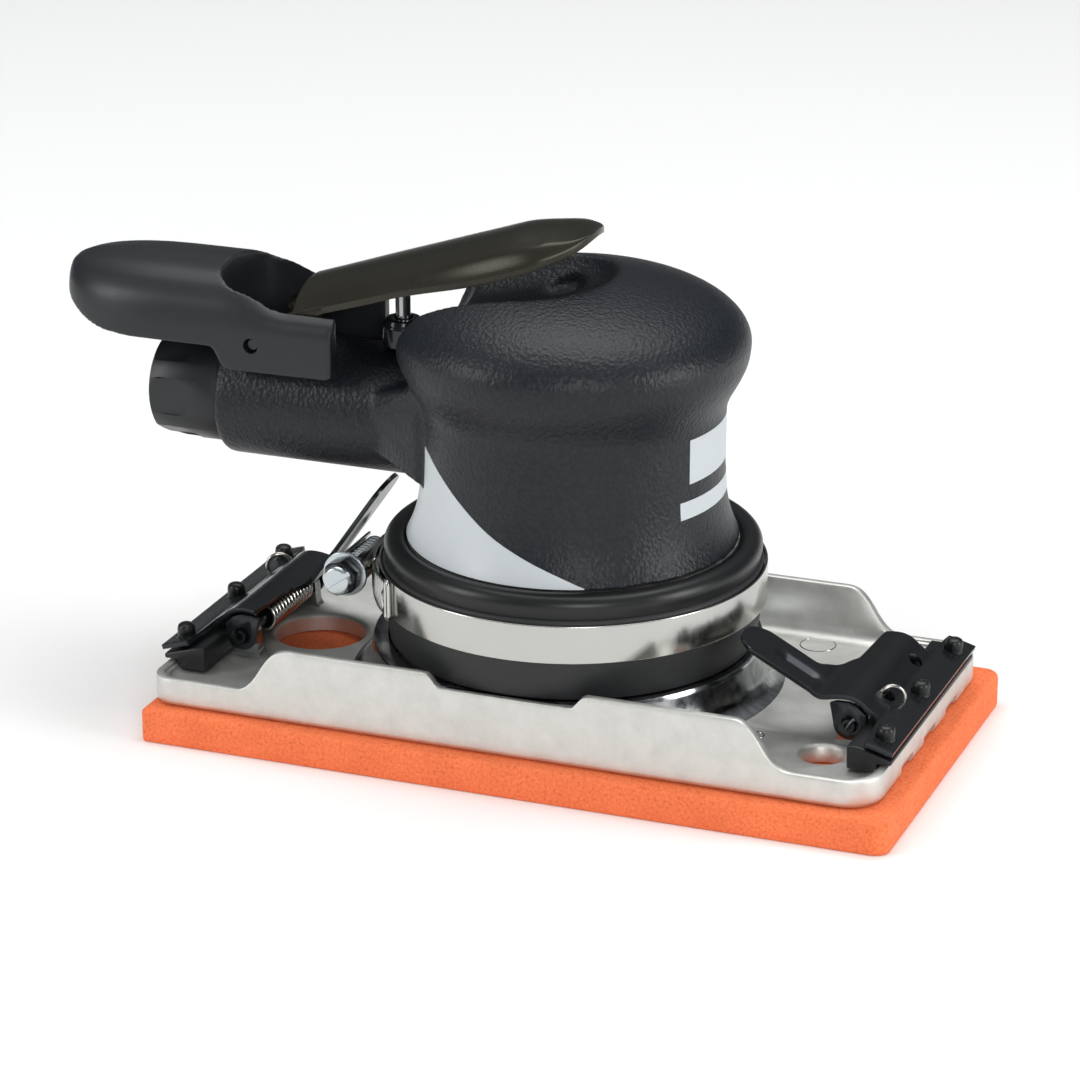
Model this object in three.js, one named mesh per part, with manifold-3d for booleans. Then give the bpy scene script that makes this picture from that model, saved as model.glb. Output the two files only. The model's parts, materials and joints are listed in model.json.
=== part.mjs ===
// Air-powered orbital sander with a rectangular clamp-on paper pad.
// Frame: origin at the centre of the foam pad's sanding face, +Z up, +X towards the front, millimetres.
import * as THREE from "three";
import { mergeVertices } from "three/addons/utils/BufferGeometryUtils.js";
import Module from "manifold-3d";

const wasm = await Module();
wasm.setup();

// ---------------------------------------------------------------- driving dimensions
const GAP = 0.3; // between pieces that touch
const RUN = 0.3; // radial clearance of a turning fit

// sanding pad
const PAD_LENGTH = 178;
const PAD_WIDTH = 93;
const FOAM_THICK = 8.1;
const FOAM_CORNER = 0.9;
const FOAM_BEVEL = 1;

// pad plate
const PLATE_INSET_X = 2.3; // mean length of foam beyond the plate at the ends
const PLATE_SHIFT = -1.8; // centre of the plate and of its spindle, from the foam's centre
const PLATE_INSET_Y = 3.3; // foam beyond the plate at each side
const PLATE_CORNER = 8.5;
const WALL = 2.3;
const FLOOR = 4.3;
const END_WALL_RISE = 6.5; // wall top above the plate's underside, at the ends
const SIDE_WALL_RISE = 17.3;
const DIP_RISE = 14.2; // where the walls dip under the shroud
const DIP_RUN = 3.5; // length of the slope at each end of the dip
const SLOPE_INSET = 20.2; // from the plate's end to the foot of the side wall's slope
const SLOPE_RUN = 13.5;
const PORT_SMALL = 5;
const PORT_LARGE = 10.7;
const PORT_SMALL_INSET = 17.1; // from the plate's end to the port's centre
const PORT_LARGE_INSET = 23.4;
const PORT_ROOM = 1; // between a port's rim and the clamp lug beside it

// motor and its off-centre drive
const ECCENTRICITY = 1.2;
const SHAFT_R = 6;
const SPINDLE_R = 5;
const SPINDLE_BEARING_R = 13;
const CUP_WALL = 3.7; // of the balancer, around the spindle's bearing
const ROTOR_R = 20;
const ROTOR_ROOM = 2; // how much larger the cylinder's bore is than the rotor
const LINER_SHIFT = 1.7;
const LINER_WALL = 4; // of the cylinder, at its thinnest
const MOTOR_SHELL = 3;
const VANES = 5;
const VANE_THICK = 1.6;

// housing
const SHOULDER_Z = 46.9; // underside of the grip cover
const COVER_WALL = 3.2; // of the grip cover, around the motor
const FOOT_FLARE = 3.7; // how much wider the cover's foot is than its neck
const DOME_FLARE = 5.6; // how much wider its dome is
const DOME_Z = 92.7; // height of the widest ring
const DOME_RISE = 15.7;
const INLET_Z = 71.5;
const BOSS_LIP = 2.2; // how much wider the boss is than the sleeve
const BOSS_TAIL = 11.4; // boss beyond the lever's pivot
const SHROUD_WALL = 5.4; // how much wider the shroud is than the cover's foot
const SHROUD_DRAFT = 1.5; // how much narrower the shroud is at its foot
const BAND_LOW = 32.4;
const BAND_WIDTH = 8.8;
const BAND_THICK = 0.6;

// air inlet
const INLET_BORE_R = 5.7;
const BUSHING_WALL = 3.3;
const FELT_THICK = 1.4;
const SLEEVE_WALL = 1.6;
const SLEEVE_LENGTH = 17.4;

// throttle
const PIN_R = 1.5;
const VALVE_ROOM = 6.9; // from the neck to the valve's axis
const VALVE_ARM = 30.5; // from the valve's axis to the lever's pivot
const STEM_R = 1.75;
const LEVER_ROOT_HALF = 12.7;
const LEVER_HALF = 14.8;
const LEVER_CROWN = 6.6;
const LEVER_SHEET = 1.5;
const LEVER_RISE = 18.5; // degrees
const LEVER_LENGTH = 69.5;
const LEVER_LIFT = 7.8; // edge of the sheet at the root, above the pivot
const SLOT_ROOM = 0.7; // between the lever and the guard's prongs
const PRONG = 3.8; // thickness of a prong
const GUARD_REACH = 52.1; // from the pivot to the guard's nose
const RECESS_HALF = 21.5;
const RECESS_END = 10.5;

// paper clamps
const CLAMP_INSET = 12.9; // from the plate's end to the clamp's pivot
const CLAMP_LIFT = 3.1; // from the end wall's top to the pivot
const CLAMP_SHEET = 1.1;
const CLAMP_HALF = 20;
const LUG_WIDTH = 3;
const JAW_INSET = 10.2; // from the plate's side to the jaw's end
const TONGUE_WIDTH = 12;
const NUB_R = 2.2;
const NUB_INSET = 6; // from the jaw's end to the outer nubs
const SPRING_R = 3.2;
// a release tongue ends this far from the shroud and this high above the pivot
const FRONT_TONGUE = { room: 1.9, height: 15.8 };
const REAR_TONGUE = { room: 6.4, height: 30.8 };

// ---------------------------------------------------------------- values worked out from them
// Heights above the foam are drawn with the plate's underside at PLATE_Z, then all set on the foam together.
const PLATE_Z = 8.4;
const FLOOR_Z = PLATE_Z + FLOOR;
const PLATE_X = PAD_LENGTH / 2 - PLATE_INSET_X;
const PLATE_Y = PAD_WIDTH / 2 - PLATE_INSET_Y;
const LEDGE_Z = PLATE_Z + DIP_RISE;
const MOTOR_X = PLATE_SHIFT + ECCENTRICITY;
const LINER_BORE_R = ROTOR_R + ROTOR_ROOM;
const MOTOR_BORE_R = LINER_BORE_R + LINER_SHIFT + LINER_WALL + GAP;
const MOTOR_OUTER_R = MOTOR_BORE_R + MOTOR_SHELL;
const BORE_R = MOTOR_OUTER_R + GAP; // inside the grip cover
const COVER_ROOF = 90.4;
const NECK_R = BORE_R + COVER_WALL;
const BASE_R = NECK_R + FOOT_FLARE;
const DOME_R = NECK_R + DOME_FLARE;
const SHROUD_R = BASE_R + SHROUD_WALL;
const BUSHING_R = INLET_BORE_R + BUSHING_WALL;
const FELT_R = BUSHING_R + GAP + FELT_THICK;
const SLEEVE_R = FELT_R + GAP + SLEEVE_WALL;
const BOSS_R = SLEEVE_R + BOSS_LIP;
const VALVE_X = MOTOR_X - NECK_R - VALVE_ROOM;
const PIVOT_X = VALVE_X - VALVE_ARM;
const PIVOT_Z = INLET_Z + BOSS_R + PIN_R + GAP;
const BOSS_END = PIVOT_X - BOSS_TAIL;
const SLEEVE_END = BOSS_END - GAP - SLEEVE_LENGTH;
const SLOT_HALF = LEVER_ROOT_HALF + SLOT_ROOM;
const GUARD_HALF = SLOT_HALF + PRONG;
const CLAMP_PIVOT_X = PLATE_X - CLAMP_INSET; // from the plate's centre
const CLAMP_PIVOT_Z = PLATE_Z + END_WALL_RISE + CLAMP_LIFT;
const LUG_Y = CLAMP_HALF - CLAMP_SHEET - 0.8 - LUG_WIDTH / 2;
const JAW_HALF = PLATE_Y - JAW_INSET;
const NUB_PITCH = JAW_HALF - NUB_INSET;

// ---------------------------------------------------------------- finishes
const finish = (color, roughness, metalness) =>
  new THREE.MeshStandardMaterial({ color, roughness, metalness });
const FOAM = finish(0xff8a57, 0.9, 0);
const CAST = finish(0xc9cbc9, 0.3, 1);
const COMPOSITE = finish(0x25292c, 0.55, 0);
const PLASTIC = finish(0x33373b, 0.5, 0);
const RUBBER = finish(0x17181a, 0.6, 0);
const STAINLESS = finish(0xc4c4c0, 0.25, 1);
const ZINC = finish(0xb8bdc0, 0.3, 1);
const BLACK_STEEL = finish(0x1b1c1e, 0.25, 0.8);
const LEVER_STEEL = finish(0x26241c, 0.4, 0.7);
const STEEL = finish(0x9fa3a6, 0.25, 1);
const SLEEVE_BLACK = finish(0x26292b, 0.45, 0.3);
const FELT = finish(0x8a8578, 0.95, 0);
const VANE = finish(0x6b4a2c, 0.8, 0);

// ---------------------------------------------------------------- shape helpers
// A closed geometry as a solid that can be joined and cut.
function solid(geometry) {
  const bare = geometry.index ? geometry.toNonIndexed() : geometry.clone();
  bare.deleteAttribute("normal");
  bare.deleteAttribute("uv");
  const merged = mergeVertices(bare, 1e-4);
  const index = merged.index.array;
  const kept = [];
  for (let i = 0; i < index.length; i += 3) {
    const [a, b, c] = [index[i], index[i + 1], index[i + 2]];
    if (a !== b && b !== c && a !== c) kept.push(a, b, c);
  }
  const vertProperties = merged.attributes.position.array;
  return new wasm.Manifold(new wasm.Mesh({ numProp: 3, vertProperties, triVerts: new Uint32Array(kept) }));
}

const joined = (first, ...rest) => rest.reduce((a, b) => a.add(b), first);
const cut = (first, ...rest) => rest.reduce((a, b) => a.subtract(b), first);

// A profile of [radius, height] points turned about a vertical axis at (x, y).
function lathe(profile, segments, x = 0, y = 0) {
  const points = profile.map(([r, z]) => new THREE.Vector2(r, z));
  const area = points.reduce((sum, p, i) => sum + p.cross(points[(i + 1) % points.length]), 0);
  if (area < 0) points.reverse();
  if (points[0].x > 0 || points.at(-1).x > 0) points.push(points[0].clone());
  return new THREE.LatheGeometry(points, segments).rotateX(Math.PI / 2).translate(x, y, 0);
}
const turned = (profile, segments, x, y) => solid(lathe(profile, segments, x, y));

// The same, about a horizontal axis along -X at height z: heights become distances towards -X.
const turnedAlongX = (profile, segments, z) =>
  solid(lathe(profile.map(([r, x]) => [r, -x]), segments).rotateY(-Math.PI / 2).translate(0, 0, z));

const ring = (inner, outer, low, high, segments, x, y) =>
  turned([[inner, low], [outer, low], [outer, high], [inner, high]], segments, x, y);
const disc = (r, low, high, segments, x, y) =>
  turned([[0, low], [r, low], [r, high], [0, high]], segments, x, y);

function block(x0, x1, y0, y1, z0, z1) {
  const box = new THREE.BoxGeometry(x1 - x0, y1 - y0, z1 - z0);
  return solid(box.translate((x0 + x1) / 2, (y0 + y1) / 2, (z0 + z1) / 2));
}

// A rod along Y, centred on y, through (x, z).
const rodY = (r, length, x, z, y = 0, segments = 16) =>
  solid(new THREE.CylinderGeometry(r, r, length, segments).translate(x, y, z));

// An outline in X and Y, raised from low to high.
function raised(shape, low, high, curveSegments = 8) {
  const geometry = new THREE.ExtrudeGeometry(shape, { depth: high - low, bevelEnabled: false, curveSegments });
  return solid(geometry.translate(0, 0, low));
}

// A side outline in X and Z, as wide as it is given along Y, centred on y.
function across(shape, width, y = 0, curveSegments = 8) {
  const geometry = new THREE.ExtrudeGeometry(shape, { depth: width, bevelEnabled: false, curveSegments });
  return solid(geometry.rotateX(Math.PI / 2).translate(0, y + width / 2, 0));
}

const outline = (points) => new THREE.Shape(points.map(([x, y]) => new THREE.Vector2(x, y)));

function roundedRect(halfX, halfY, r) {
  const s = new THREE.Shape();
  s.moveTo(halfX - r, -halfY);
  s.absarc(halfX - r, -halfY + r, r, -Math.PI / 2, 0);
  s.absarc(halfX - r, halfY - r, r, 0, Math.PI / 2);
  s.absarc(-halfX + r, halfY - r, r, Math.PI / 2, Math.PI);
  s.absarc(-halfX + r, -halfY + r, r, Math.PI, 1.5 * Math.PI);
  s.closePath();
  return s;
}

// A slot from x0, square, to a round end of radius half about x1.
function roundEnded(x0, x1, half) {
  const s = new THREE.Shape();
  s.moveTo(x0, -half);
  s.lineTo(x1, -half);
  s.absarc(x1, 0, half, -Math.PI / 2, Math.PI / 2);
  s.lineTo(x0, half);
  s.closePath();
  return s;
}

// A closed solid between two grids of points that have the same numbers of rows and columns.
function between(upper, lower) {
  const [rows, columns] = [upper.length, upper[0].length];
  const at = (i, j, side) => (side * rows + i) * columns + j;
  const index = [];
  const quad = (a, b, c, d) => index.push(a, b, c, a, c, d);
  for (let i = 0; i < rows - 1; i++) {
    for (let j = 0; j < columns - 1; j++) {
      quad(at(i, j, 0), at(i + 1, j, 0), at(i + 1, j + 1, 0), at(i, j + 1, 0));
      quad(at(i, j, 1), at(i, j + 1, 1), at(i + 1, j + 1, 1), at(i + 1, j, 1));
    }
    quad(at(i, 0, 1), at(i + 1, 0, 1), at(i + 1, 0, 0), at(i, 0, 0));
    quad(at(i, columns - 1, 0), at(i + 1, columns - 1, 0), at(i + 1, columns - 1, 1), at(i, columns - 1, 1));
  }
  for (let j = 0; j < columns - 1; j++) {
    quad(at(0, j, 0), at(0, j + 1, 0), at(0, j + 1, 1), at(0, j, 1));
    quad(at(rows - 1, j, 1), at(rows - 1, j + 1, 1), at(rows - 1, j + 1, 0), at(rows - 1, j, 0));
  }
  const geometry = new THREE.BufferGeometry();
  geometry.setAttribute("position", new THREE.Float32BufferAttribute([...upper, ...lower].flat(2), 3));
  geometry.setIndex(index);
  return solid(geometry);
}

// A grid of points for between(): point(u, v), with u from 0 to 1 along the rows and v from -1 to 1 across.
const grid = (rows, columns, point) =>
  Array.from({ length: rows + 1 }, (_, i) => Array.from({ length: columns + 1 }, (_, j) =>
    point(i / rows, (2 * j) / columns - 1)));

const ease = (t) => {
  const k = Math.min(Math.max(t, 0), 1);
  return k * k * (3 - 2 * k);
};

// The height at x of a line through [x, z] points.
function heightAt(points, x) {
  const i = Math.min(Math.max(points.findIndex(([px]) => px >= x), 1), points.length - 1);
  const [[x0, z0], [x1, z1]] = [points[i - 1], points[i]];
  return z0 + ((z1 - z0) * (Math.min(Math.max(x, x0), x1) - x0)) / (x1 - x0);
}

const sander = new THREE.Group();
// everything above the foam
const machine = new THREE.Group();
machine.position.z = FOAM_THICK + GAP - PLATE_Z;
sander.add(machine);

function place(name, shape, material, group = machine) {
  const { vertProperties, triVerts, numProp } = shape.getMesh();
  const position = new Float32Array((vertProperties.length / numProp) * 3);
  for (let i = 0; i < position.length / 3; i++) {
    position.set(vertProperties.subarray(i * numProp, i * numProp + 3), i * 3);
  }
  const geometry = new THREE.BufferGeometry();
  geometry.setAttribute("position", new THREE.BufferAttribute(position, 3));
  geometry.setIndex(new THREE.BufferAttribute(triVerts, 1));
  const mesh = new THREE.Mesh(geometry, material);
  mesh.name = name;
  group.add(mesh);
}

// ---------------------------------------------------------------- foam pad and pad plate
function foamPad() {
  const flat = FOAM_THICK - FOAM_BEVEL;
  const foam = roundedRect(PAD_LENGTH / 2 - FOAM_BEVEL, PAD_WIDTH / 2 - FOAM_BEVEL, FOAM_CORNER);
  const settings = { depth: flat, bevelThickness: FOAM_BEVEL, bevelSize: FOAM_BEVEL, bevelSegments: 2 };
  const bevelled = solid(new THREE.ExtrudeGeometry(foam, { ...settings, curveSegments: 4 }));
  return cut(bevelled, block(-PAD_LENGTH, PAD_LENGTH, -PAD_WIDTH, PAD_WIDTH, -2 * FOAM_BEVEL, 0));
}

// The space above the plate's side walls, as seen from the side.
function aboveWalls() {
  const [end, side, dip] = [END_WALL_RISE, SIDE_WALL_RISE, DIP_RISE].map((rise) => PLATE_Z + rise);
  // the dip is as long as the chord that the shroud's edge makes over the wall
  const dipEnd = Math.sqrt(Math.max((SHROUD_R + GAP / 2) ** 2 - (PLATE_Y - WALL) ** 2, 0));
  const riseEnd = dipEnd + DIP_RUN;
  const slopeEnd = PLATE_X - SLOPE_INSET;
  const slopeStart = slopeEnd - SLOPE_RUN;
  const middle = (slopeStart + slopeEnd) / 2;
  const s = new THREE.Shape();
  s.moveTo(-PLATE_X - 5, end);
  s.lineTo(-slopeEnd, end);
  s.bezierCurveTo(-middle, end, -middle, side, -slopeStart, side);
  s.lineTo(-riseEnd, side);
  s.lineTo(-dipEnd, dip);
  s.lineTo(dipEnd, dip);
  s.lineTo(riseEnd, side);
  s.lineTo(slopeStart, side);
  s.bezierCurveTo(middle, side, middle, end, slopeEnd, end);
  s.lineTo(PLATE_X + 5, end);
  s.lineTo(PLATE_X + 5, side + 10);
  s.lineTo(-PLATE_X - 5, side + 10);
  s.closePath();
  return across(s, 2 * PLATE_Y + 10).translate([MOTOR_X - PLATE_SHIFT, 0, 0]);
}

const HUB_R = 14;
const HUB_Z = 19;
const SCREW_HEAD_R = 6;
const SCREW_HEAD_TOP = PLATE_Z + 3.2;
const SCREW_R = 2.6;

function padPlate() {
  const outer = raised(roundedRect(PLATE_X, PLATE_Y, PLATE_CORNER), PLATE_Z, PLATE_Z + SIDE_WALL_RISE);
  const pan = raised(roundedRect(PLATE_X - WALL, PLATE_Y - WALL, PLATE_CORNER - WALL), FLOOR_Z, 60);
  // the ring that the shroud stands on flares into the floor
  const ledge = [[-2.1, FLOOR_Z - 1], [6.4, FLOOR_Z - 1], [5, FLOOR_Z], [2.8, FLOOR_Z + 3],
    [1.6, FLOOR_Z + 6.5], [0.7, LEDGE_Z], [-2.1, LEDGE_Z]].map(([r, z]) => [SHROUD_R + r, z]);
  const inside = raised(roundedRect(PLATE_X - 0.5, PLATE_Y - 0.5, PLATE_CORNER), PLATE_Z, 60);
  const seat = turned(ledge, 48).intersect(inside);
  const hub = disc(HUB_R, FLOOR_Z - 1, HUB_Z, 24);
  let plate = joined(cut(outer, pan, aboveWalls()), seat, hub);
  for (const end of [1, -1]) {
    for (const side of [1, -1]) plate = plate.add(clampLug(end, side));
    for (const y of [-LUG_Y, LUG_Y]) {
      // shallow notches in the lower edge of the end wall
      const [x0, x1] = [end * PLATE_X - 1.3 - 0.3 * end, end * PLATE_X + 1.3 - 0.3 * end];
      plate = plate.subtract(block(x0, x1, y - 5.5, y + 5.5, PLATE_Z - 1, PLATE_Z + 2));
    }
  }
  const bored = (r, rim, x, y) => {
    const hole = [[0, 0], [r, 0], [r, FLOOR_Z - 0.8], [rim, FLOOR_Z + 0.2], [rim, FLOOR_Z + 0.5],
      [0, FLOOR_Z + 0.5]];
    return turned(hole, 24, x, y);
  };
  const rim = PORT_SMALL + 1.3;
  return cut(
    plate,
    bored(PORT_SMALL, rim, PLATE_X - PORT_SMALL_INSET, -(LUG_Y + LUG_WIDTH / 2 + PORT_ROOM + rim)),
    bored(PORT_LARGE, PORT_LARGE + 1, PORT_LARGE_INSET - PLATE_X, 1.5),
    disc(SCREW_HEAD_R + GAP, 0, SCREW_HEAD_TOP + GAP, 20),
    disc(SCREW_R + GAP, 0, 60, 12),
  );
}

// An upright ear on the plate that carries a clamp's pivot pin.
function clampLug(end, side) {
  const [x, y, half] = [end * CLAMP_PIVOT_X, side * LUG_Y, 3];
  const s = new THREE.Shape();
  s.moveTo(x - half, FLOOR_Z - 1);
  s.lineTo(x + half, FLOOR_Z - 1);
  s.lineTo(x + half, CLAMP_PIVOT_Z);
  s.absarc(x, CLAMP_PIVOT_Z, half, 0, Math.PI);
  s.closePath();
  return cut(across(s, LUG_WIDTH, y, 6), rodY(PIN_R + RUN, 10, x, CLAMP_PIVOT_Z, y));
}

// the plate, its spindle and the clamps are centred on the spindle's axis, behind the foam's centre
const carrier = new THREE.Group();
carrier.position.x = PLATE_SHIFT;
machine.add(carrier);
place("foam_pad", foamPad(), FOAM, sander);
place("pad_plate", padPlate(), CAST, carrier);

// ---------------------------------------------------------------- spindle that carries the pad
const SPINDLE_FOOT = HUB_Z + GAP;
const SPINDLE_TOP = 35;
const SPINDLE_FLANGE = 2.5;
const SPINDLE_FLANGE_R = SPINDLE_R + 4;

const screwProfile = [[0, PLATE_Z + GAP], [SCREW_HEAD_R, PLATE_Z + GAP], [SCREW_HEAD_R, SCREW_HEAD_TOP - 1.2],
  [SCREW_R, SCREW_HEAD_TOP], [SCREW_R, 26], [0, 26]];
place("pad_screw", turned(screwProfile, 16), STEEL, carrier);

const spindleProfile = [[SCREW_R + GAP, SPINDLE_FOOT], [SPINDLE_FLANGE_R, SPINDLE_FOOT],
  [SPINDLE_FLANGE_R, SPINDLE_FOOT + SPINDLE_FLANGE],
  [SPINDLE_R, SPINDLE_FOOT + SPINDLE_FLANGE], [SPINDLE_R, SPINDLE_TOP], [0, SPINDLE_TOP], [0, 28],
  [SCREW_R + GAP, 26.6]];
place("pad_spindle", turned(spindleProfile, 20), STEEL, carrier);

// ---------------------------------------------------------------- rotor group
const BALANCER_LOW = 22.9;
const BALANCER_TOP = 39;
const POCKET_ROOF = SPINDLE_TOP + 0.6;
const BEARING_SEAT = 50; // underside of the lower rotor bearing
const SHAFT_TOP = 89.6;

function bearing(inner, outer, low, high, x) {
  const [third, dish] = [(outer - inner) / 3, 0.5];
  const profile = [[inner, low], [inner + third, low], [inner + third, low + dish], [outer - third, low + dish],
    [outer - third, low], [outer, low], [outer, high], [outer - third, high], [outer - third, high - dish],
    [inner + third, high - dish], [inner + third, high], [inner, high]];
  return turned(profile, 18, x, 0);
}

function balancerShaft() {
  const collarR = SHAFT_R + 2;
  const collar = [[0, BALANCER_TOP - 1], [collarR, BALANCER_TOP - 1], [collarR, BEARING_SEAT - GAP],
    [SHAFT_R, BEARING_SEAT - GAP], [SHAFT_R, SHAFT_TOP], [0, SHAFT_TOP]];
  const behind = block(-60, MOTOR_X + 4, -60, 60, 0, 60);
  const weight = disc(MOTOR_OUTER_R, 27, BALANCER_TOP, 32, MOTOR_X).subtract(behind);
  const cupR = SPINDLE_BEARING_R + GAP + CUP_WALL;
  const cup = disc(cupR, BALANCER_LOW, BALANCER_TOP, 28, PLATE_SHIFT + ECCENTRICITY / 2);
  const keyway = block(MOTOR_X + SHAFT_R - 1.5, MOTOR_X + SHAFT_R + 2, -1.3, 1.3, 60, 80);
  const pocket = disc(SPINDLE_BEARING_R + GAP, 0, POCKET_ROOF, 24, PLATE_SHIFT);
  return cut(joined(turned(collar, 20, MOTOR_X), weight, cup), pocket, keyway);
}
place("balancer_shaft", balancerShaft(), STEEL);
const spindleBearing = bearing(SPINDLE_R + RUN, SPINDLE_BEARING_R, 23.5, 34.5, PLATE_SHIFT);
place("spindle_bearing", spindleBearing, STAINLESS);

const CYLINDER_LOW = 57.6;
const CYLINDER_HIGH = 81.6;

// A point turned by one vane's angle about the motor axis.
const vaneTurn = (geometry, i) => {
  const turn = (2 * Math.PI * (i + 0.5)) / VANES;
  return solid(geometry.rotateZ(turn).translate(MOTOR_X, 0, (CYLINDER_LOW + CYLINDER_HIGH) / 2));
};

function rotor() {
  const height = CYLINDER_HIGH - CYLINDER_LOW - 2 * GAP;
  let body = ring(SHAFT_R + GAP, ROTOR_R, CYLINDER_LOW + GAP, CYLINDER_HIGH - GAP, 30, MOTOR_X);
  for (let i = 0; i < VANES; i++) {
    const slot = new THREE.BoxGeometry(9, VANE_THICK + 2 * GAP, height + 4).translate(ROTOR_R - 3.5, 0, 0);
    body = body.subtract(vaneTurn(slot, i));
  }
  return body.subtract(block(MOTOR_X + SHAFT_R - 1, MOTOR_X + SHAFT_R + 2.4, -1.6, 1.6, 50, 90));
}
place("rotor", rotor(), STEEL);
for (let i = 0; i < VANES; i++) {
  const blade = new THREE.BoxGeometry(7.4, VANE_THICK, CYLINDER_HIGH - CYLINDER_LOW - 2 * GAP);
  place("vane_" + (i + 1), vaneTurn(blade.translate(ROTOR_R - 3.7, 0, 0), i), VANE);
}
place("rotor_key", block(MOTOR_X + SHAFT_R - 1.2, MOTOR_X + SHAFT_R + 1.8, -1, 1, 60.5, 79.5), STEEL);

// ---------------------------------------------------------------- motor parts held in the housing
const MOTOR_FIT_R = MOTOR_BORE_R - GAP;

function motorHousing() {
  const shell = turned([[MOTOR_BORE_R, 41], [BASE_R - 0.2, 41], [BASE_R - 0.2, SHOULDER_Z - GAP],
    [MOTOR_OUTER_R, SHOULDER_Z - GAP], [MOTOR_OUTER_R, COVER_ROOF - GAP],
    [MOTOR_BORE_R, COVER_ROOF - GAP]], 40, MOTOR_X);
  return shell.subtract(turnedAlongX([[0, -45], [4, -45], [4, -20], [0, -20]], 12, INLET_Z));
}
place("motor_housing", motorHousing(), CAST);

place("lock_ring", ring(18, MOTOR_FIT_R, 44.5, BEARING_SEAT, 32, MOTOR_X), STEEL);

// an end plate holds its bearing in a pocket that is open on the side away from the rotor
const SHAFT_HOLE_R = SHAFT_R + 2;
const LOWER_BEARING_R = SHAFT_R + 7;
const UPPER_BEARING_R = SHAFT_R + 5;
const LOWER_BEARING_TOP = 56.3;
const lowerPocket = LOWER_BEARING_R + GAP;
const lowerPlate = [[SHAFT_HOLE_R, LOWER_BEARING_TOP + GAP], [lowerPocket, LOWER_BEARING_TOP + GAP],
  [lowerPocket, BEARING_SEAT + GAP], [MOTOR_FIT_R, BEARING_SEAT + GAP], [MOTOR_FIT_R, CYLINDER_LOW - GAP],
  [SHAFT_HOLE_R, CYLINDER_LOW - GAP]];
const lowerBearing = bearing(SHAFT_R + RUN, LOWER_BEARING_R, BEARING_SEAT + GAP, LOWER_BEARING_TOP, MOTOR_X);
place("lower_end_plate", turned(lowerPlate, 32, MOTOR_X), CAST);
place("lower_bearing", lowerBearing, STAINLESS);

const UPPER_LOW = CYLINDER_HIGH + GAP;
const upperPocket = UPPER_BEARING_R + GAP;
const upperPlate = [[SHAFT_HOLE_R, UPPER_LOW], [MOTOR_FIT_R, UPPER_LOW], [MOTOR_FIT_R, UPPER_LOW + 7],
  [upperPocket, UPPER_LOW + 7], [upperPocket, UPPER_LOW + 1], [SHAFT_HOLE_R, UPPER_LOW + 1]];
const upperBearing = bearing(SHAFT_R + RUN, UPPER_BEARING_R, UPPER_LOW + 1 + GAP, UPPER_LOW + 6.7, MOTOR_X);
place("upper_end_plate", turned(upperPlate, 32, MOTOR_X), CAST);
place("upper_bearing", upperBearing, STAINLESS);

const liner = cut(disc(MOTOR_FIT_R, CYLINDER_LOW, CYLINDER_HIGH, 32, MOTOR_X),
  disc(LINER_BORE_R, 0, 100, 32, MOTOR_X + LINER_SHIFT));
place("motor_cylinder", liner, STEEL);

// ---------------------------------------------------------------- grip cover with the inlet boss
const VALVE_BORE_R = 3.3;
const VALVE_SEAT_Z = INLET_Z + BOSS_R + 2 * GAP;
const INLET_STEP = VALVE_X - 18;
const AIRWAY_R = INLET_BORE_R - 0.7;

function coverProfile() {
  const foot = [[1, SHOULDER_Z], [0.65, 49.5], [0.3, 53.5], [0.08, 58.5], [0, 64], [0, 73.5]];
  const flare = [[0.04, 76.5], [0.16, 79], [0.43, 82], [0.73, 85.3], [0.93, 88.8]];
  const profile = [...foot.map(([k, z]) => [NECK_R + k * FOOT_FLARE, z]),
    ...flare.map(([k, z]) => [NECK_R + k * DOME_FLARE, z])];
  const steps = 9;
  for (let i = 0; i < steps; i++) {
    const t = (Math.PI / 2) * (i / steps);
    profile.push([DOME_R * Math.cos(t), DOME_Z + DOME_RISE * Math.sin(t)]);
  }
  return [[0, SHOULDER_Z], ...profile, [0, DOME_Z + DOME_RISE]];
}

// The dished space that the pressed lever sinks into, open towards the back and deeper over the boss.
function leverRecess() {
  const wall = MOTOR_X - BORE_R;
  const low = VALVE_SEAT_Z - GAP;
  const floor = [[wall - 43, low], [wall - 3.6, low], [wall - 1.1, 91], [wall + 1.9, 95.5], [-8, 101.2],
    [RECESS_END - 6.5, 103.4], [RECESS_END + 3.5, 104.6]];
  const [start, span] = [wall - 43, RECESS_END + 3.5 - (wall - 43)];
  const point = (height) => (u, v) => {
    const x = start + span * u;
    const along = Math.min(Math.max((x + 8) / (RECESS_END + 8), 0), 0.998);
    const rise = (9 * v ** 4 + 7 * along ** 5) * ease((x + 44) / 10);
    return [x, RECESS_HALF * Math.sqrt(1 - along ** 2) * v, height ?? heightAt(floor, x) + rise];
  };
  return between(grid(44, 14, point(135)), grid(44, 14, point()));
}

// The faceted fairing that blends the boss into the neck.
function bossFairing() {
  const [neck, z] = [MOTOR_X - NECK_R, INLET_Z + 2.5];
  const stations = [[-14.9, 9, 66, 78, 1], [-8.9, 13, 65, 79, 1.5], [4.1, 19.5, 61, 84, 1],
    [15.1, 21, 60, 85, 0]];
  const row = (side) => stations.map(([dx, half, low, high, keel]) => {
    const edge = side > 0 ? high : low;
    return [[-half - keel, z + side * 0.2], [-half, edge], [half, edge], [half + keel, z + side * 0.2]]
      .map(([y, height]) => [neck + dx, y, height]);
  });
  return between(row(1), row(-1));
}

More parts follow.
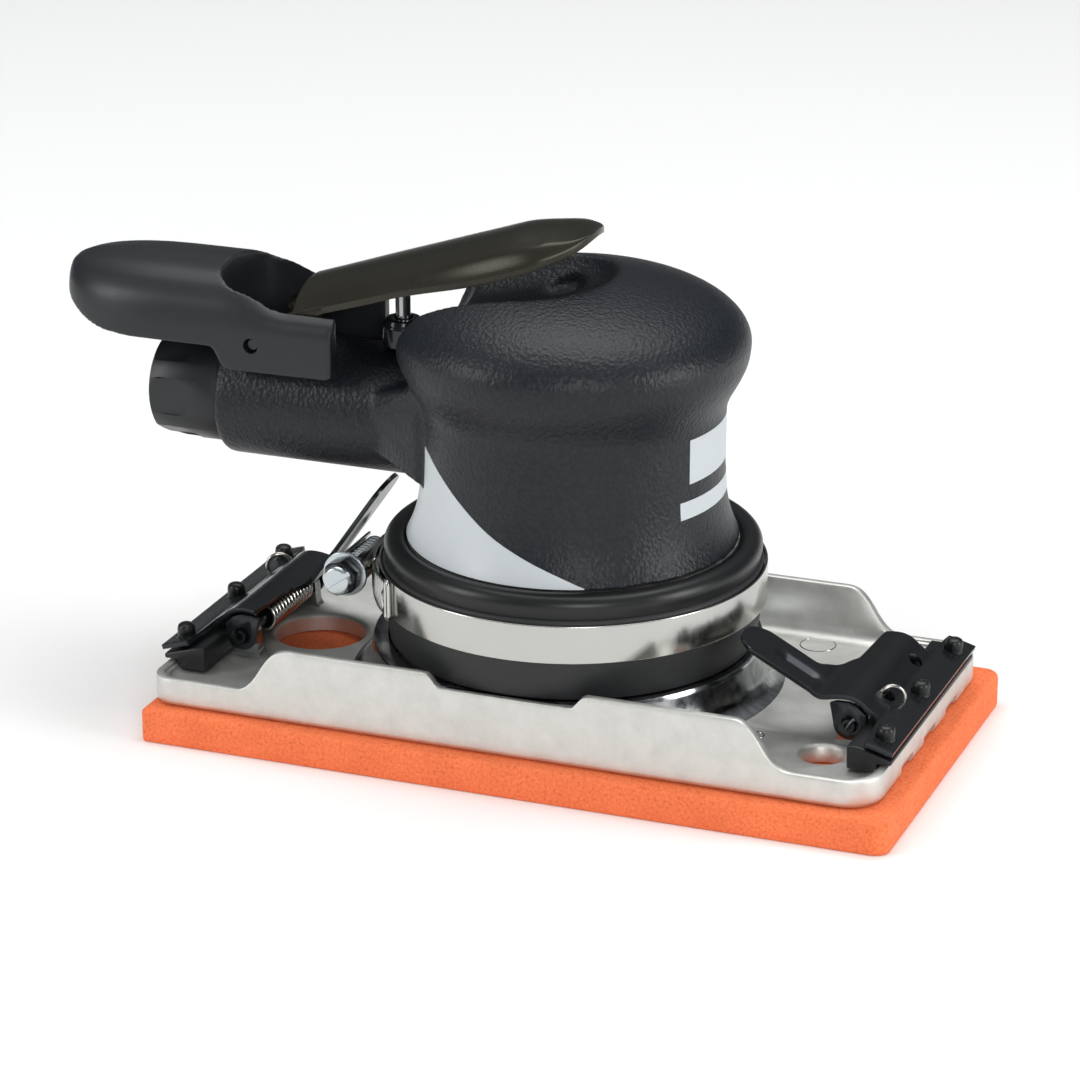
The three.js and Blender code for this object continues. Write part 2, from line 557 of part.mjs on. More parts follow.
function gripCover() {
  const dome = turned(coverProfile(), 44, MOTOR_X);
  const boss = turnedAlongX([[0, -20], [BOSS_R, -20], [BOSS_R, BOSS_END + 2], [BOSS_R - 0.6, BOSS_END + 0.6],
    [BOSS_R - 2, BOSS_END], [0, BOSS_END]], 28, INLET_Z);
  const motorSpace = disc(BORE_R, 0, COVER_ROOF, 40, MOTOR_X);
  const airway = turnedAlongX([[0, -20], [AIRWAY_R, -20], [AIRWAY_R, INLET_STEP], [BUSHING_R + GAP, INLET_STEP],
    [BUSHING_R + GAP, BOSS_END - 1], [0, BOSS_END - 1]], 24, INLET_Z);
  const valveBore = disc(VALVE_BORE_R, INLET_Z, 100, 12, VALVE_X);
  return cut(joined(dome, boss, bossFairing()), motorSpace, airway, valveBore, leverRecess());
}
place("grip_cover", gripCover(), COMPOSITE);

// ---------------------------------------------------------------- shroud, band and worm screw
function shroud() {
  const [beadR, beadZ, bead] = [SHROUD_R - 3.2, 44.6, 2.9];
  const profile = [[SHROUD_R - 3.4, LEDGE_Z + GAP], [SHROUD_R - SHROUD_DRAFT, LEDGE_Z + GAP],
    [SHROUD_R, BAND_LOW], [SHROUD_R, BAND_LOW + BAND_WIDTH + 0.6], [beadR + 2.4, 42.4]];
  for (let i = 0; i <= 6; i++) {
    const t = -0.25 + (i / 6) * 2.6;
    profile.push([beadR + bead * Math.cos(t), beadZ + bead * Math.sin(t)]);
  }
  profile.push([BASE_R + GAP, 45.6], [BASE_R + GAP, 40.4], [SHROUD_R - 2.8, 38]);
  return turned(profile, 44, MOTOR_X);
}
place("shroud", shroud(), RUBBER);

const BAND_R = SHROUD_R + GAP;
const WORM_X = MOTOR_X - BAND_R - 4.6;
const WORM_Z = BAND_LOW + BAND_WIDTH / 2;
const band = ring(BAND_R, BAND_R + BAND_THICK, BAND_LOW, BAND_LOW + BAND_WIDTH, 44, MOTOR_X);
place("clamp_band", band, STAINLESS);

const WORM_R = 3;
const WORM_SHELL_R = 4.1;
function wormHousing() {
  const shell = rodY(WORM_SHELL_R, 17, WORM_X, WORM_Z, -8.5, 20);
  const foot = block(WORM_X, MOTOR_X - BAND_R - 0.2, -17, 0, WORM_Z - 4.1, WORM_Z + 4.1);
  const bandSpace = disc(BAND_R + BAND_THICK + GAP, 0, 60, 44, MOTOR_X);
  return cut(joined(shell, foot), rodY(WORM_R + GAP, 40, WORM_X, WORM_Z), bandSpace);
}
place("worm_housing", wormHousing(), STAINLESS);

function wormScrew() {
  const thread = rodY(WORM_R, 18, WORM_X, WORM_Z, -9.6, 12);
  const flange = rodY(5.5, 1, WORM_X, WORM_Z, -19.1, 20);
  const head = rodY(3.9, 5.4, WORM_X, WORM_Z, -22.2, 6);
  const slot = block(WORM_X - 5, WORM_X + 5, -26, -23.3, WORM_Z - 0.6, WORM_Z + 0.6);
  return cut(joined(thread, flange, head), slot);
}
place("worm_screw", wormScrew(), ZINC);

// ---------------------------------------------------------------- air inlet
const BUSHING_END = SLEEVE_END + 1.6;
const bushingProfile = [[INLET_BORE_R, INLET_STEP - GAP], [BUSHING_R, INLET_STEP - GAP],
  [BUSHING_R, BUSHING_END], [INLET_BORE_R + 0.8, BUSHING_END], [INLET_BORE_R, BUSHING_END + 1.2]];
place("inlet_bushing", turnedAlongX(bushingProfile, 24, INLET_Z), STEEL);

function mufflerSleeve() {
  const [start, bore] = [BOSS_END - GAP, SLEEVE_R - SLEEVE_WALL];
  const tube = turnedAlongX([[bore, start], [SLEEVE_R, start], [SLEEVE_R, SLEEVE_END + 5.1],
    [SLEEVE_R - 0.6, SLEEVE_END + 0.6],
    [SLEEVE_R - 1.2, SLEEVE_END], [BUSHING_R + GAP, SLEEVE_END], [BUSHING_R + GAP, SLEEVE_END + 2],
    [bore, SLEEVE_END + 2]], 32, INLET_Z);
  let sleeve = tube;
  for (let i = 0; i < 6; i++) {
    // shallow grip flats that run out towards the boss
    const flat = new THREE.BoxGeometry(12, 9, 2).translate(SLEEVE_END + 6, 0, SLEEVE_R + 0.35);
    sleeve = sleeve.subtract(solid(flat.rotateX((i * Math.PI) / 3).translate(0, 0, INLET_Z)));
  }
  return sleeve;
}
place("muffler_sleeve", mufflerSleeve(), SLEEVE_BLACK);
place("muffler_felt", turnedAlongX([[BUSHING_R + GAP, BOSS_END - 0.6], [FELT_R, BOSS_END - 0.6],
  [FELT_R, SLEEVE_END + 2 + GAP], [BUSHING_R + GAP, SLEEVE_END + 2 + GAP]], 20, INLET_Z), FELT);

// ---------------------------------------------------------------- throttle valve
const LEVER_SLOPE = Math.tan((LEVER_RISE * Math.PI) / 180);
const LEVER_ROOT_X = PIVOT_X + 8.5;
const LEVER_ROOT_Z = PIVOT_Z + LEVER_LIFT;
const STEM_TOP = LEVER_ROOT_Z + (VALVE_X - LEVER_ROOT_X) * LEVER_SLOPE + LEVER_CROWN - LEVER_SHEET - 1;
const COLLAR_TOP = VALVE_SEAT_Z + 6.5;
const [SEAL_LOW, SEAL_HIGH] = [INLET_Z + 7.5, INLET_Z + 8.7];

place("valve_bushing", turned([[STEM_R + RUN, SEAL_HIGH + GAP], [VALVE_BORE_R - GAP, SEAL_HIGH + GAP],
  [VALVE_BORE_R - GAP, VALVE_SEAT_Z], [4.7, VALVE_SEAT_Z], [4.7, COLLAR_TOP - 1.8], [4, COLLAR_TOP],
  [STEM_R + RUN, COLLAR_TOP]], 16, VALVE_X), BLACK_STEEL);
place("valve_seal", ring(STEM_R + RUN, VALVE_BORE_R - GAP, SEAL_LOW, SEAL_HIGH, 12, VALVE_X), RUBBER);
place("valve_stem", turned([[0, INLET_Z + 5.1], [2.4, INLET_Z + 5.1], [2.4, INLET_Z + 5.6],
  [STEM_R, INLET_Z + 6.1],
  [STEM_R, STEM_TOP - 0.6], [STEM_R - 0.6, STEM_TOP], [0, STEM_TOP]], 12, VALVE_X), STEEL);

class Helix extends THREE.Curve {
  constructor(radius, turns, low, high, x, y) {
    super();
    Object.assign(this, { radius, turns, low, high, x, y });
  }
  getPoint(t, target = new THREE.Vector3()) {
    const angle = 2 * Math.PI * this.turns * t;
    return target.set(this.x + this.radius * Math.cos(angle), this.y + this.radius * Math.sin(angle),
      this.low + (this.high - this.low) * t);
  }
}
function valveSpring() {
  const wire = new THREE.Shape().absarc(0, 0, 0.35, 0, 2 * Math.PI);
  const extrudePath = new Helix(2.2, 4, INLET_Z - AIRWAY_R + 1.1, INLET_Z + 4.4, VALVE_X, 0);
  return solid(new THREE.ExtrudeGeometry(wire, { steps: 40, curveSegments: 3, extrudePath }));
}
place("valve_spring", valveSpring(), STEEL);

// ---------------------------------------------------------------- lever, guard and pivot pin
// A sheet that rises at a steady slope, levels off and loses its crown towards a half-round tip.
function throttleLever() {
  const tip = LEVER_ROOT_X + LEVER_LENGTH;
  const top = (u, v) => {
    const last = Math.max((u - 0.7) / 0.3, 0);
    const x = LEVER_ROOT_X + LEVER_LENGTH * (Math.min(u, 0.7) + 0.3 * Math.sin(last * (Math.PI / 2)));
    const full = LEVER_ROOT_HALF + (LEVER_HALF - LEVER_ROOT_HALF) * ease((x - LEVER_ROOT_X - 2) / 20);
    const round = Math.min(Math.max((x - tip + LEVER_HALF) / LEVER_HALF, 0), 0.999);
    const y = full * (1 - round ** 2.3) ** (1 / 2.1) * v;
    const crown = LEVER_CROWN * (1 - 0.67 * ease((x - tip + 15.5) / 15.5)) * (1 - Math.abs(y / full) ** 2.3);
    return [x, y, LEVER_ROOT_Z + (x - LEVER_ROOT_X) * LEVER_SLOPE - 2.4 * ease((x - tip + 35.5) / 36) + crown];
  };
  const under = LEVER_SHEET / Math.cos((LEVER_RISE * Math.PI) / 180);
  const bottom = (u, v) => top(u, v).map((value, axis) => (axis === 2 ? value - under : value));
  let lever = between(grid(26, 14, top), grid(26, 14, bottom));
  for (const side of [1, -1]) {
    const ear = outline([[-4.1, 2], [-1.5, 4.4], [8.5, 8.1], [16.5, 11.3], [16.5, 9.4], [6.5, 1], [2.9, -3.5],
      [-1.5, -3.7], [-4.1, -2]].map(([x, z]) => [PIVOT_X + x, PIVOT_Z + z]));
    const y = side * (LEVER_ROOT_HALF - 1.1);
    lever = lever.add(cut(across(ear, 1.5, y), rodY(PIN_R + RUN, 6, PIVOT_X, PIVOT_Z, y)));
  }
  return lever;
}
place("throttle_lever", throttleLever(), LEVER_STEEL);
place("lever_pivot_pin", rodY(PIN_R, 2 * GUARD_HALF - 2.4, PIVOT_X, PIVOT_Z), BLACK_STEEL);

// A crowned section carried along X that shrinks to a blunt nose, cut for the lever, its pin and the boss.
function leverGuard() {
  const half = [[1, -8.1], [1, 1], [0.985, 4.5], [0.94, 8], [0.84, 10.7], [0.7, 13], [0.46, 14.6],
    [0.23, 15.3]];
  const section = [...half.map(([k, z]) => [-k, z]), [0, 15.5], ...half.map(([k, z]) => [k, z]).reverse()];
  const [noseRun, middle] = [30.6, 8.3];
  const shell = (flat) => (u, v) => {
    const [k, height] = section[Math.round(((v + 1) / 2) * (section.length - 1))];
    const back = 1 - u;
    const turn = Math.sin(Math.max((back - 0.4) / 0.6, 0) * (Math.PI / 2));
    const straight = GUARD_REACH - noseRun + 22.5;
    const x = 22.5 - Math.min(back / 0.4, 1) * straight - noseRun * turn;
    const scale = Math.max(1 - turn ** 2.6, 1e-3) ** (1 / 2.6);
    const droop = 5.6 * ease((x + 6) / 20) * Math.max((height - 4) / 11.5, 0);
    const z = middle + (height - middle) * (0.25 + 0.75 * scale) - droop;
    return [PIVOT_X + x, k * GUARD_HALF * scale, PIVOT_Z + (flat ? -8.3 : z)];
  };
  const columns = section.length - 1;
  const body = between(grid(24, columns, shell(false)), grid(24, columns, shell(true)));
  const under = [[-54.5, 10], [-51.5, 5.6], [-47, 2.4], [-42.5, 0.1], [-37.5, -1.1], [-31.5, -1.3],
    [-9.9, -1.3], [-7.1, -6.5], [19.9, -6.2], [20.1, 32], [-54.5, 32]]
    .map(([x, z]) => [PIVOT_X + x, PIVOT_Z + z]);
  const plan = [[30, -SLOT_HALF - 0.4], [30, SLOT_HALF + 0.4]];
  for (let i = 0; i <= 12; i++) {
    const t = Math.PI * (0.5 - i / 12);
    const square = (value) => Math.sign(value) * Math.abs(value) ** 0.65;
    plan.push([-1.5 - 10 * square(Math.cos(t)), SLOT_HALF * square(Math.sin(t))]);
  }
  const slot = raised(outline(plan.map(([x, y]) => [PIVOT_X + x, y])), 70, 130);
  const [saddleR, saddleEnd] = [BOSS_R + GAP, BOSS_END - 26];
  const saddle = turnedAlongX([[0, -40], [saddleR, -40], [saddleR, saddleEnd], [0, saddleEnd]], 28, INLET_Z);
  const shaped = body.intersect(across(outline(under), 60));
  return cut(shaped, slot, saddle, rodY(PIN_R + GAP, 60, PIVOT_X, PIVOT_Z));
}
place("lever_guard", leverGuard(), PLASTIC);

// ---------------------------------------------------------------- paper clamps
const JAW_TILT = Math.tan((16 * Math.PI) / 180);
const jawTop = (x) => CLAMP_PIVOT_Z + 1.8 - (x - CLAMP_PIVOT_X - 5.8) * JAW_TILT;
const JAW_EDGE = PLATE_X + 0.9;
const EAR_R = 3.7;

function clampPlate(tipX, tipHeight) {
  const t = CLAMP_SHEET;
  const at = (points) => outline(points.map(([x, z]) => [CLAMP_PIVOT_X + x, CLAMP_PIVOT_Z + z]));
  const [jawBack, bend] = [CLAMP_PIVOT_X + 5, jawTop(CLAMP_PIVOT_X + 6.4) - CLAMP_PIVOT_Z];
  const jaw = outline([[jawBack, jawTop(jawBack)], [JAW_EDGE, jawTop(JAW_EDGE)],
    [JAW_EDGE, jawTop(JAW_EDGE) - t], [jawBack, jawTop(jawBack) - t]]);
  const shoulder = at([[6.4, bend], [3.6, 3.5], [1.6, 5.2], [-0.4, 5.8], [-3, 5.6], [-5.4, 4.8],
    [-5.4, 4.8 - t], [-2.8, 5.6 - t], [-0.6, 5.8 - t], [1, 5.2 - t], [3, 3.5 - t], [5.6, bend - t]]);
  const [rootX, rootZ] = [CLAMP_PIVOT_X - 7.2, CLAMP_PIVOT_Z + 5.2];
  const [dx, dz] = [tipX - rootX, CLAMP_PIVOT_Z + tipHeight - rootZ];
  const slope = Math.atan2(dz, -dx);
  const tongueSide = outline([[rootX + 4, rootZ + 0.2], [rootX, rootZ], [rootX + dx, rootZ + dz],
    [rootX + dx - t * Math.sin(slope), rootZ + dz - t * Math.cos(slope)], [rootX - 0.4, rootZ - t],
    [rootX + 4, rootZ + 0.2 - t]]);
  const tipR = TONGUE_WIDTH / 2;
  const y = -CLAMP_HALF + tipR;
  const rounded = roundEnded(-CLAMP_PIVOT_X - 2, -(rootX + dx) - tipR * Math.cos(slope), tipR);
  const tall = new THREE.ExtrudeGeometry(rounded, { depth: 80, bevelEnabled: false, curveSegments: 6 });
  const tip = solid(tall.rotateZ(Math.PI).translate(0, y, 0));
  const tongue = across(tongueSide, TONGUE_WIDTH, y).intersect(tip);
  let plate = joined(across(jaw, 2 * JAW_HALF), across(shoulder, 2 * CLAMP_HALF), tongue);
  for (const side of [1, -1]) {
    const ear = new THREE.Shape();
    ear.moveTo(CLAMP_PIVOT_X - EAR_R, CLAMP_PIVOT_Z + 5);
    ear.lineTo(CLAMP_PIVOT_X - EAR_R, CLAMP_PIVOT_Z);
    ear.absarc(CLAMP_PIVOT_X, CLAMP_PIVOT_Z, EAR_R, Math.PI, 2 * Math.PI);
    ear.lineTo(CLAMP_PIVOT_X + EAR_R, CLAMP_PIVOT_Z + 2.4);
    ear.lineTo(CLAMP_PIVOT_X + 1.6, CLAMP_PIVOT_Z + 4.6);
    ear.closePath();
    plate = plate.add(across(ear, t, side * (CLAMP_HALF - t / 2), 8));
  }
  const holes = [-NUB_PITCH, 0, NUB_PITCH].map((hole) => disc(NUB_R + GAP, 0, 60, 12, NUB_X, hole));
  const eyes = [-9, 13].map((eye) => block(CLAMP_PIVOT_X + 4, CLAMP_PIVOT_X + 7.2, eye - 2, eye + 2, 0, 60));
  return cut(plate, ...holes, ...eyes, rodY(PIN_R + RUN, 60, CLAMP_PIVOT_X, CLAMP_PIVOT_Z));
}

const NUB_X = CLAMP_PIVOT_X + 10.6;
function jawRubber() {
  const top = (x) => jawTop(x) - CLAMP_SHEET - GAP;
  const [low, high, back] = [FLOOR_Z + 0.5, PLATE_Z + END_WALL_RISE + GAP, CLAMP_PIVOT_X + EAR_R + GAP];
  const step = PLATE_X - WALL - 0.6;
  const strip = outline([[back, low], [step, low], [step, high], [JAW_EDGE, high], [JAW_EDGE, top(JAW_EDGE)],
    [back + 1.5, top(back + 1.5)], [back, top(back + 1.5)]]);
  const nubTop = CLAMP_PIVOT_Z + 4.4;
  const nubs = [-NUB_PITCH, 0, NUB_PITCH].map((nub) => turned([[0, high + 0.8], [NUB_R, high + 0.8],
    [NUB_R, nubTop - 0.8], [NUB_R - 0.7, nubTop], [0, nubTop]], 12, NUB_X, nub));
  return joined(across(strip, 2 * JAW_HALF), ...nubs);
}

// The rear clamp is the front one turned half a turn, with a steeper tongue.
const SPRING_LENGTH = 26;
const ends = [["front", FRONT_TONGUE, ECCENTRICITY, 0], ["rear", REAR_TONGUE, -ECCENTRICITY, Math.PI]];
for (const [end, tongue, offset, turn] of ends) {
  const group = new THREE.Group();
  group.rotation.z = turn;
  carrier.add(group);
  const tipX = SHROUD_R + offset + tongue.room;
  place(end + "_clamp_plate", clampPlate(tipX, tongue.height), BLACK_STEEL, group);
  place(end + "_jaw_rubber", jawRubber(), RUBBER, group);
  const pin = cut(rodY(PIN_R, 2 * CLAMP_HALF + 2, CLAMP_PIVOT_X, CLAMP_PIVOT_Z, 0, 12),
    rodY(0.8, 60, CLAMP_PIVOT_X, CLAMP_PIVOT_Z, 0, 8));
  place(end + "_pivot_pin", pin, STEEL, group);
  const spring = cut(rodY(SPRING_R, SPRING_LENGTH, CLAMP_PIVOT_X, CLAMP_PIVOT_Z, -1, 14),
    rodY(PIN_R + RUN, 60, CLAMP_PIVOT_X, CLAMP_PIVOT_Z, 0, 12));
  place(end + "_clamp_spring", spring, STEEL, group);
}

export default sander;
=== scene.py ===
"""Looks of an air-powered orbital sander with a rectangular clamp-on paper pad.

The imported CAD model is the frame: +Z up, +X towards the front, origin at the centre of the pad's sanding face.
Sizes inside the shape functions are millimetres, and mesh_from turns them into Blender's metres.
"""
import json

import bmesh
import bpy
import numpy as np
from bpy.props import FloatProperty, FloatVectorProperty, IntProperty, PointerProperty
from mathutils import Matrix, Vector


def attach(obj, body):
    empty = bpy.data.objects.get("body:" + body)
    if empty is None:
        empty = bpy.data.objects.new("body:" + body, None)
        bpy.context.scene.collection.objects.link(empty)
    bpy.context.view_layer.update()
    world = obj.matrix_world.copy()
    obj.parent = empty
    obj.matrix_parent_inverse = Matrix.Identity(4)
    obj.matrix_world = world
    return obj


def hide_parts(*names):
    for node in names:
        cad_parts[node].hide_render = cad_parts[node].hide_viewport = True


bl_info = {
    "name": "Orbital Sander",
    "version": (1, 0, 0),
    "blender": (4, 5, 0),
    "location": "View3D > Sidebar > Sander",
    "description": "Builds the looks of a clamp-on orbital sander round its CAD frame",
    "category": "Object",
}

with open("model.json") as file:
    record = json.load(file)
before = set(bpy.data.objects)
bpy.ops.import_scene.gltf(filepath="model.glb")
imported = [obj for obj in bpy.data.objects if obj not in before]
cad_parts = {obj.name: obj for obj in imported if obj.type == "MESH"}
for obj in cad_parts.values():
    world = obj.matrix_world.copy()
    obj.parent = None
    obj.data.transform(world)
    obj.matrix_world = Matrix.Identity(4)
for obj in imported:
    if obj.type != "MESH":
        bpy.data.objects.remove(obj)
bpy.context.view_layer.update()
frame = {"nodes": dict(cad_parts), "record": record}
NODES = frame["nodes"]
MM = 0.001

# places that the CAD settles, in millimetres
PLATE_MID_X = -1.8
MOTOR_X = -0.6
PLATE_Z = 8.4
FLOOR_Z = 12.7
LEDGE_Z = 22.6
PIVOT = 73.8  # clamp pin, out from the plate's centre
PIVOT_Z = 18.0
INLET_Z = 71.5
BOSS_END = -83.9
SLEEVE_END = -101.6
VALVE_X = -42.0
WORM_X, WORM_Z = -49.1, 36.8


# ---------------------------------------------------------------- shapes worked out as arrays
def ease(t):
    """Smooth step: 0 below 0, 1 above 1, and 3t^2 - 2t^3 between."""
    t = np.clip(t, 0, 1)
    return t * t * (3 - 2 * t)


def eased(outline, radius, steps=4):
    """A closed outline whose corners become quadratic arcs.

    Each arc starts and ends `radius` from its corner p, or 45% of the edge if that is less:
    (1-t)^2 a + 2t(1-t) p + t^2 b.
    """
    p = np.asarray(outline, float)
    r = np.broadcast_to(np.asarray(radius, float), len(p))
    before, after = np.roll(p, 1, 0) - p, np.roll(p, -1, 0) - p
    long_before, long_after = np.linalg.norm(before, axis=1), np.linalg.norm(after, axis=1)
    a = p + before * (np.minimum(r, 0.45 * long_before) / long_before)[:, None]
    b = p + after * (np.minimum(r, 0.45 * long_after) / long_after)[:, None]
    t = np.linspace(0, 1, steps + 1)[None, :, None]
    curve = (1 - t) ** 2 * a[:, None] + 2 * t * (1 - t) * p[:, None] + t**2 * b[:, None]
    return curve.reshape(-1, 2)


def flowing(points, steps=6):
    """A Catmull-Rom curve through the points, `steps` spans to each gap."""
    p = np.asarray(points, float)
    q = np.vstack([2 * p[:1] - p[1:2], p, 2 * p[-1:] - p[-2:-1]])
    t = (np.arange(steps) / steps)[None, :, None]
    a, b, c, d = (q[i : len(q) - 3 + i, None] for i in range(4))
    curve = 0.5 * (2 * b + (c - a) * t + (2 * a - 5 * b + 4 * c - d) * t**2 + (3 * b - a - 3 * c + d) * t**3)
    return np.vstack([curve.reshape(-1, p.shape[1]), p[-1:]])


def grid_faces(rows, cols, wrap_rows=False, wrap_cols=False):
    """Quads between neighbouring points of a rows x cols grid."""
    i, j = np.meshgrid(
        np.arange(rows if wrap_rows else rows - 1), np.arange(cols if wrap_cols else cols - 1), indexing="ij"
    )
    i2, j2 = (i + 1) % rows, (j + 1) % cols
    return np.stack([i * cols + j, i * cols + j2, i2 * cols + j2, i2 * cols + j], -1).reshape(-1, 4).tolist()


def together(*shapes):
    """Several shapes, each (points, faces), as one."""
    points, faces, start = [], [], 0
    for p, f in shapes:
        points.append(p)
        faces += [[v + start for v in face] for face in f]
        start += len(p)
    return np.vstack(points), faces


def turned(profile, segments=128, x=0.0, y=0.0, axis="z", z=0.0):
    """A closed profile of (radius, distance) points turned once about an axis.

    About Z: (x + r cos a, y + r sin a, d). About X or Y the distance runs along that axis instead.
    """
    r, d = np.asarray(profile, float).T
    a = np.linspace(0, 2 * np.pi, segments, endpoint=False)[:, None]
    u, v, w = r * np.cos(a), r * np.sin(a), np.broadcast_to(d, (segments, len(d)))
    points = {"z": (x + u, y + v, w), "x": (w, y + u, z + v), "y": (x + v, w, z + u)}[axis]
    return np.stack(points, -1).reshape(-1, 3), grid_faces(segments, len(d), True, True)


def prism(outline, low, high, axis="z"):
    """A closed outline carried straight along an axis, with flat ends. The outline is in the other two axes."""
    flat = np.asarray(outline, float)
    n = len(flat)
    points = np.vstack([np.column_stack([flat, np.full(n, low)]), np.column_stack([flat, np.full(n, high)])])
    order = {"z": [0, 1, 2], "y": [0, 2, 1], "x": [2, 0, 1]}[axis]
    return points[:, order], grid_faces(2, n, wrap_cols=True) + [list(range(n)), list(range(n, 2 * n))]


def rod(radius, start, end, x, z, segments=48, chamfer=0.25):
    """A round rod along Y with eased ends."""
    c = chamfer
    profile = [[0, start], [radius - c, start], [radius, start + c], [radius, end - c], [radius - c, end], [0, end]]
    return turned(profile, segments, x, axis="y", z=z)


def wire(path, radius, reference, sides=10, closed=False):
    """A round section carried along a path.

    At each point the section lies in the plane of the reference direction, made square to the path's tangent,
    and of the direction square to both. An open wire ends in flat faces.
    """
    path = np.asarray(path, float)
    ahead = np.roll(path, -1, 0) - np.roll(path, 1, 0) if closed else np.gradient(path, axis=0)
    tangent = ahead / np.linalg.norm(ahead, axis=1)[:, None]
    side = np.broadcast_to(np.asarray(reference, float), path.shape)
    side = side - (side * tangent).sum(1)[:, None] * tangent
    side /= np.linalg.norm(side, axis=1)[:, None]
    other = np.cross(tangent, side)
    a = np.linspace(0, 2 * np.pi, sides, endpoint=False)[None, :, None]
    points = path[:, None] + radius * (np.cos(a) * side[:, None] + np.sin(a) * other[:, None])
    n = len(path)
    faces = grid_faces(n, sides, closed, True)
    if not closed:
        faces += [list(range(sides)), list(range((n - 1) * sides, n * sides))]
    return points.reshape(-1, 3), faces


def sheet(surface, thickness):
    """A grid of points as a sheet of metal: the grid, the grid moved back along its normals, and the strip between."""
    normal = np.cross(np.gradient(surface, axis=0), np.gradient(surface, axis=1))
    normal /= np.maximum(np.linalg.norm(normal, axis=-1, keepdims=True), 1e-9)
    return closed_between(surface, surface - thickness * normal)


def closed_between(low, high):
    """The solid between two grids of the same size: both grids, and the strip between their edges."""
    rows, cols = low.shape[:2]
    n = rows * cols
    face = grid_faces(rows, cols)
    rim = np.arange(n).reshape(rows, cols)
    edge = np.concatenate([rim[0], rim[1:, -1], rim[-1, -2::-1], rim[-2:0:-1, 0]])
    after = np.roll(edge, -1)
    strip = np.stack([edge, edge + n, after + n, after], -1).tolist()
    flipped = [[v + n for v in reversed(f)] for f in face]
    return np.vstack([low.reshape(-1, 3), high.reshape(-1, 3)]), face + flipped + strip


def rounded_path(half_x, half_y, front_r, rear_r, along=150, across=40, corner=12):
    """Points round a rectangle with front corners of one radius and rear corners of another."""
    quarter = np.linspace(0, np.pi / 2, corner)
    parts = []
    for sx, sy, r, start in ((1, -1, front_r, -90), (1, 1, front_r, 0), (-1, 1, rear_r, 90), (-1, -1, rear_r, 180)):
        a = np.radians(start) + quarter
        centre = np.array([sx * (half_x - r), sy * (half_y - r)])
        parts.append(centre + r * np.column_stack([np.cos(a), np.sin(a)]))
    path = []
    for i, arc in enumerate(parts):
        count = across if i % 2 == 0 else along
        t = np.linspace(0, 1, count + 2)[1:-1, None]
        path += [arc, arc[-1] * (1 - t) + parts[(i + 1) % 4][0] * t]
    return np.vstack(path)


def round_the_path(rows, half_x, half_y, front_r, rear_r, x):
    """A profile carried round a rounded rectangle: rows of (inset, height), a height may vary along the path."""
    rings = []
    for inset, height in rows:
        flat = rounded_path(half_x - inset, half_y - inset, max(front_r - inset, 0.8), max(rear_r - inset, 0.6))
        rings.append(np.column_stack([flat[:, 0] + x, flat[:, 1], np.broadcast_to(height, len(flat))]))
    n = len(rings[0])
    faces = grid_faces(len(rings), n, wrap_cols=True)
    faces += [list(range(n)), list(range((len(rings) - 1) * n, len(rings) * n))]
    return np.vstack(rings), faces


def at_end(shape, end):
    """A clamp shape, worked out as distance out from the plate's centre, put at the front (1) or rear (-1)."""
    points, faces = shape
    return points * [end, end, 1] + [PLATE_MID_X, 0, 0], faces


# ---------------------------------------------------------------- meshes and pieces
def mesh_from(name, shape):
    """A mesh in metres from a shape in millimetres, with its doubles merged and its faces turned outwards."""
    points, faces = shape
    mesh = bpy.data.meshes.new(name)
    mesh.from_pydata((np.asarray(points) * MM).tolist(), [], faces)
    work = bmesh.new()
    work.from_mesh(mesh)
    bmesh.ops.remove_doubles(work, verts=work.verts, dist=2e-6)
    bmesh.ops.dissolve_degenerate(work, edges=work.edges, dist=1e-7)
    bmesh.ops.recalc_face_normals(work, faces=work.faces)
    work.to_mesh(mesh)
    work.free()
    return mesh


def bare(name, made):
    """An object in the scene from a mesh or a shape."""
    mesh = made if isinstance(made, bpy.types.Mesh) else mesh_from(name, made)
    obj = bpy.data.objects.new(name, mesh)
    bpy.context.scene.collection.objects.link(obj)
    return obj


def worked(name, made, *steps):
    """The mesh left when Boolean, Bevel and Remesh modifiers have finished a shape."""
    base = bare(name, made)
    helpers = []
    for kind, *values in steps:
        if kind in ("DIFFERENCE", "UNION", "INTERSECT"):
            tool = bare(name + "_tool", values[0])
            helpers.append(tool)
            change = base.modifiers.new(kind, "BOOLEAN")
            change.operation, change.solver, change.object = kind, "EXACT", tool
        elif kind == "BEVEL":
            change = base.modifiers.new("Rounded edges", "BEVEL")
            change.width, change.segments = values[0] * MM, values[1]
            change.limit_method, change.angle_limit = "ANGLE", np.radians(40)
            change.use_clamp_overlap = True
        elif kind == "REMESH":
            change = base.modifiers.new("Even skin", "REMESH")
            change.mode, change.voxel_size = "VOXEL", values[0] * MM
            change = base.modifiers.new("Moulded fillets", "SMOOTH")
            change.factor, change.iterations = 0.5, values[1]
    graph = bpy.context.evaluated_depsgraph_get()
    mesh = bpy.data.meshes.new_from_object(base.evaluated_get(graph), depsgraph=graph)
    for obj in [base, *helpers]:
        bpy.data.objects.remove(obj)
    return mesh


def piece(name, made, body, slot, *finishes, stands_for=(), sharp=35):
    """A finished piece of the sander: smooth shaded with sharp edges kept, riding its body."""
    obj = bare(name, made)
    mesh = obj.data
    mesh.polygons.foreach_set("use_smooth", np.ones(len(mesh.polygons), bool))
    mesh.set_sharp_from_angle(angle=np.radians(sharp))
    mesh.materials.clear()
    for finish in finishes:
        mesh.materials.append(finish)
    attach(obj, body)
    if stands_for:
        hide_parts(*stands_for)
    return obj


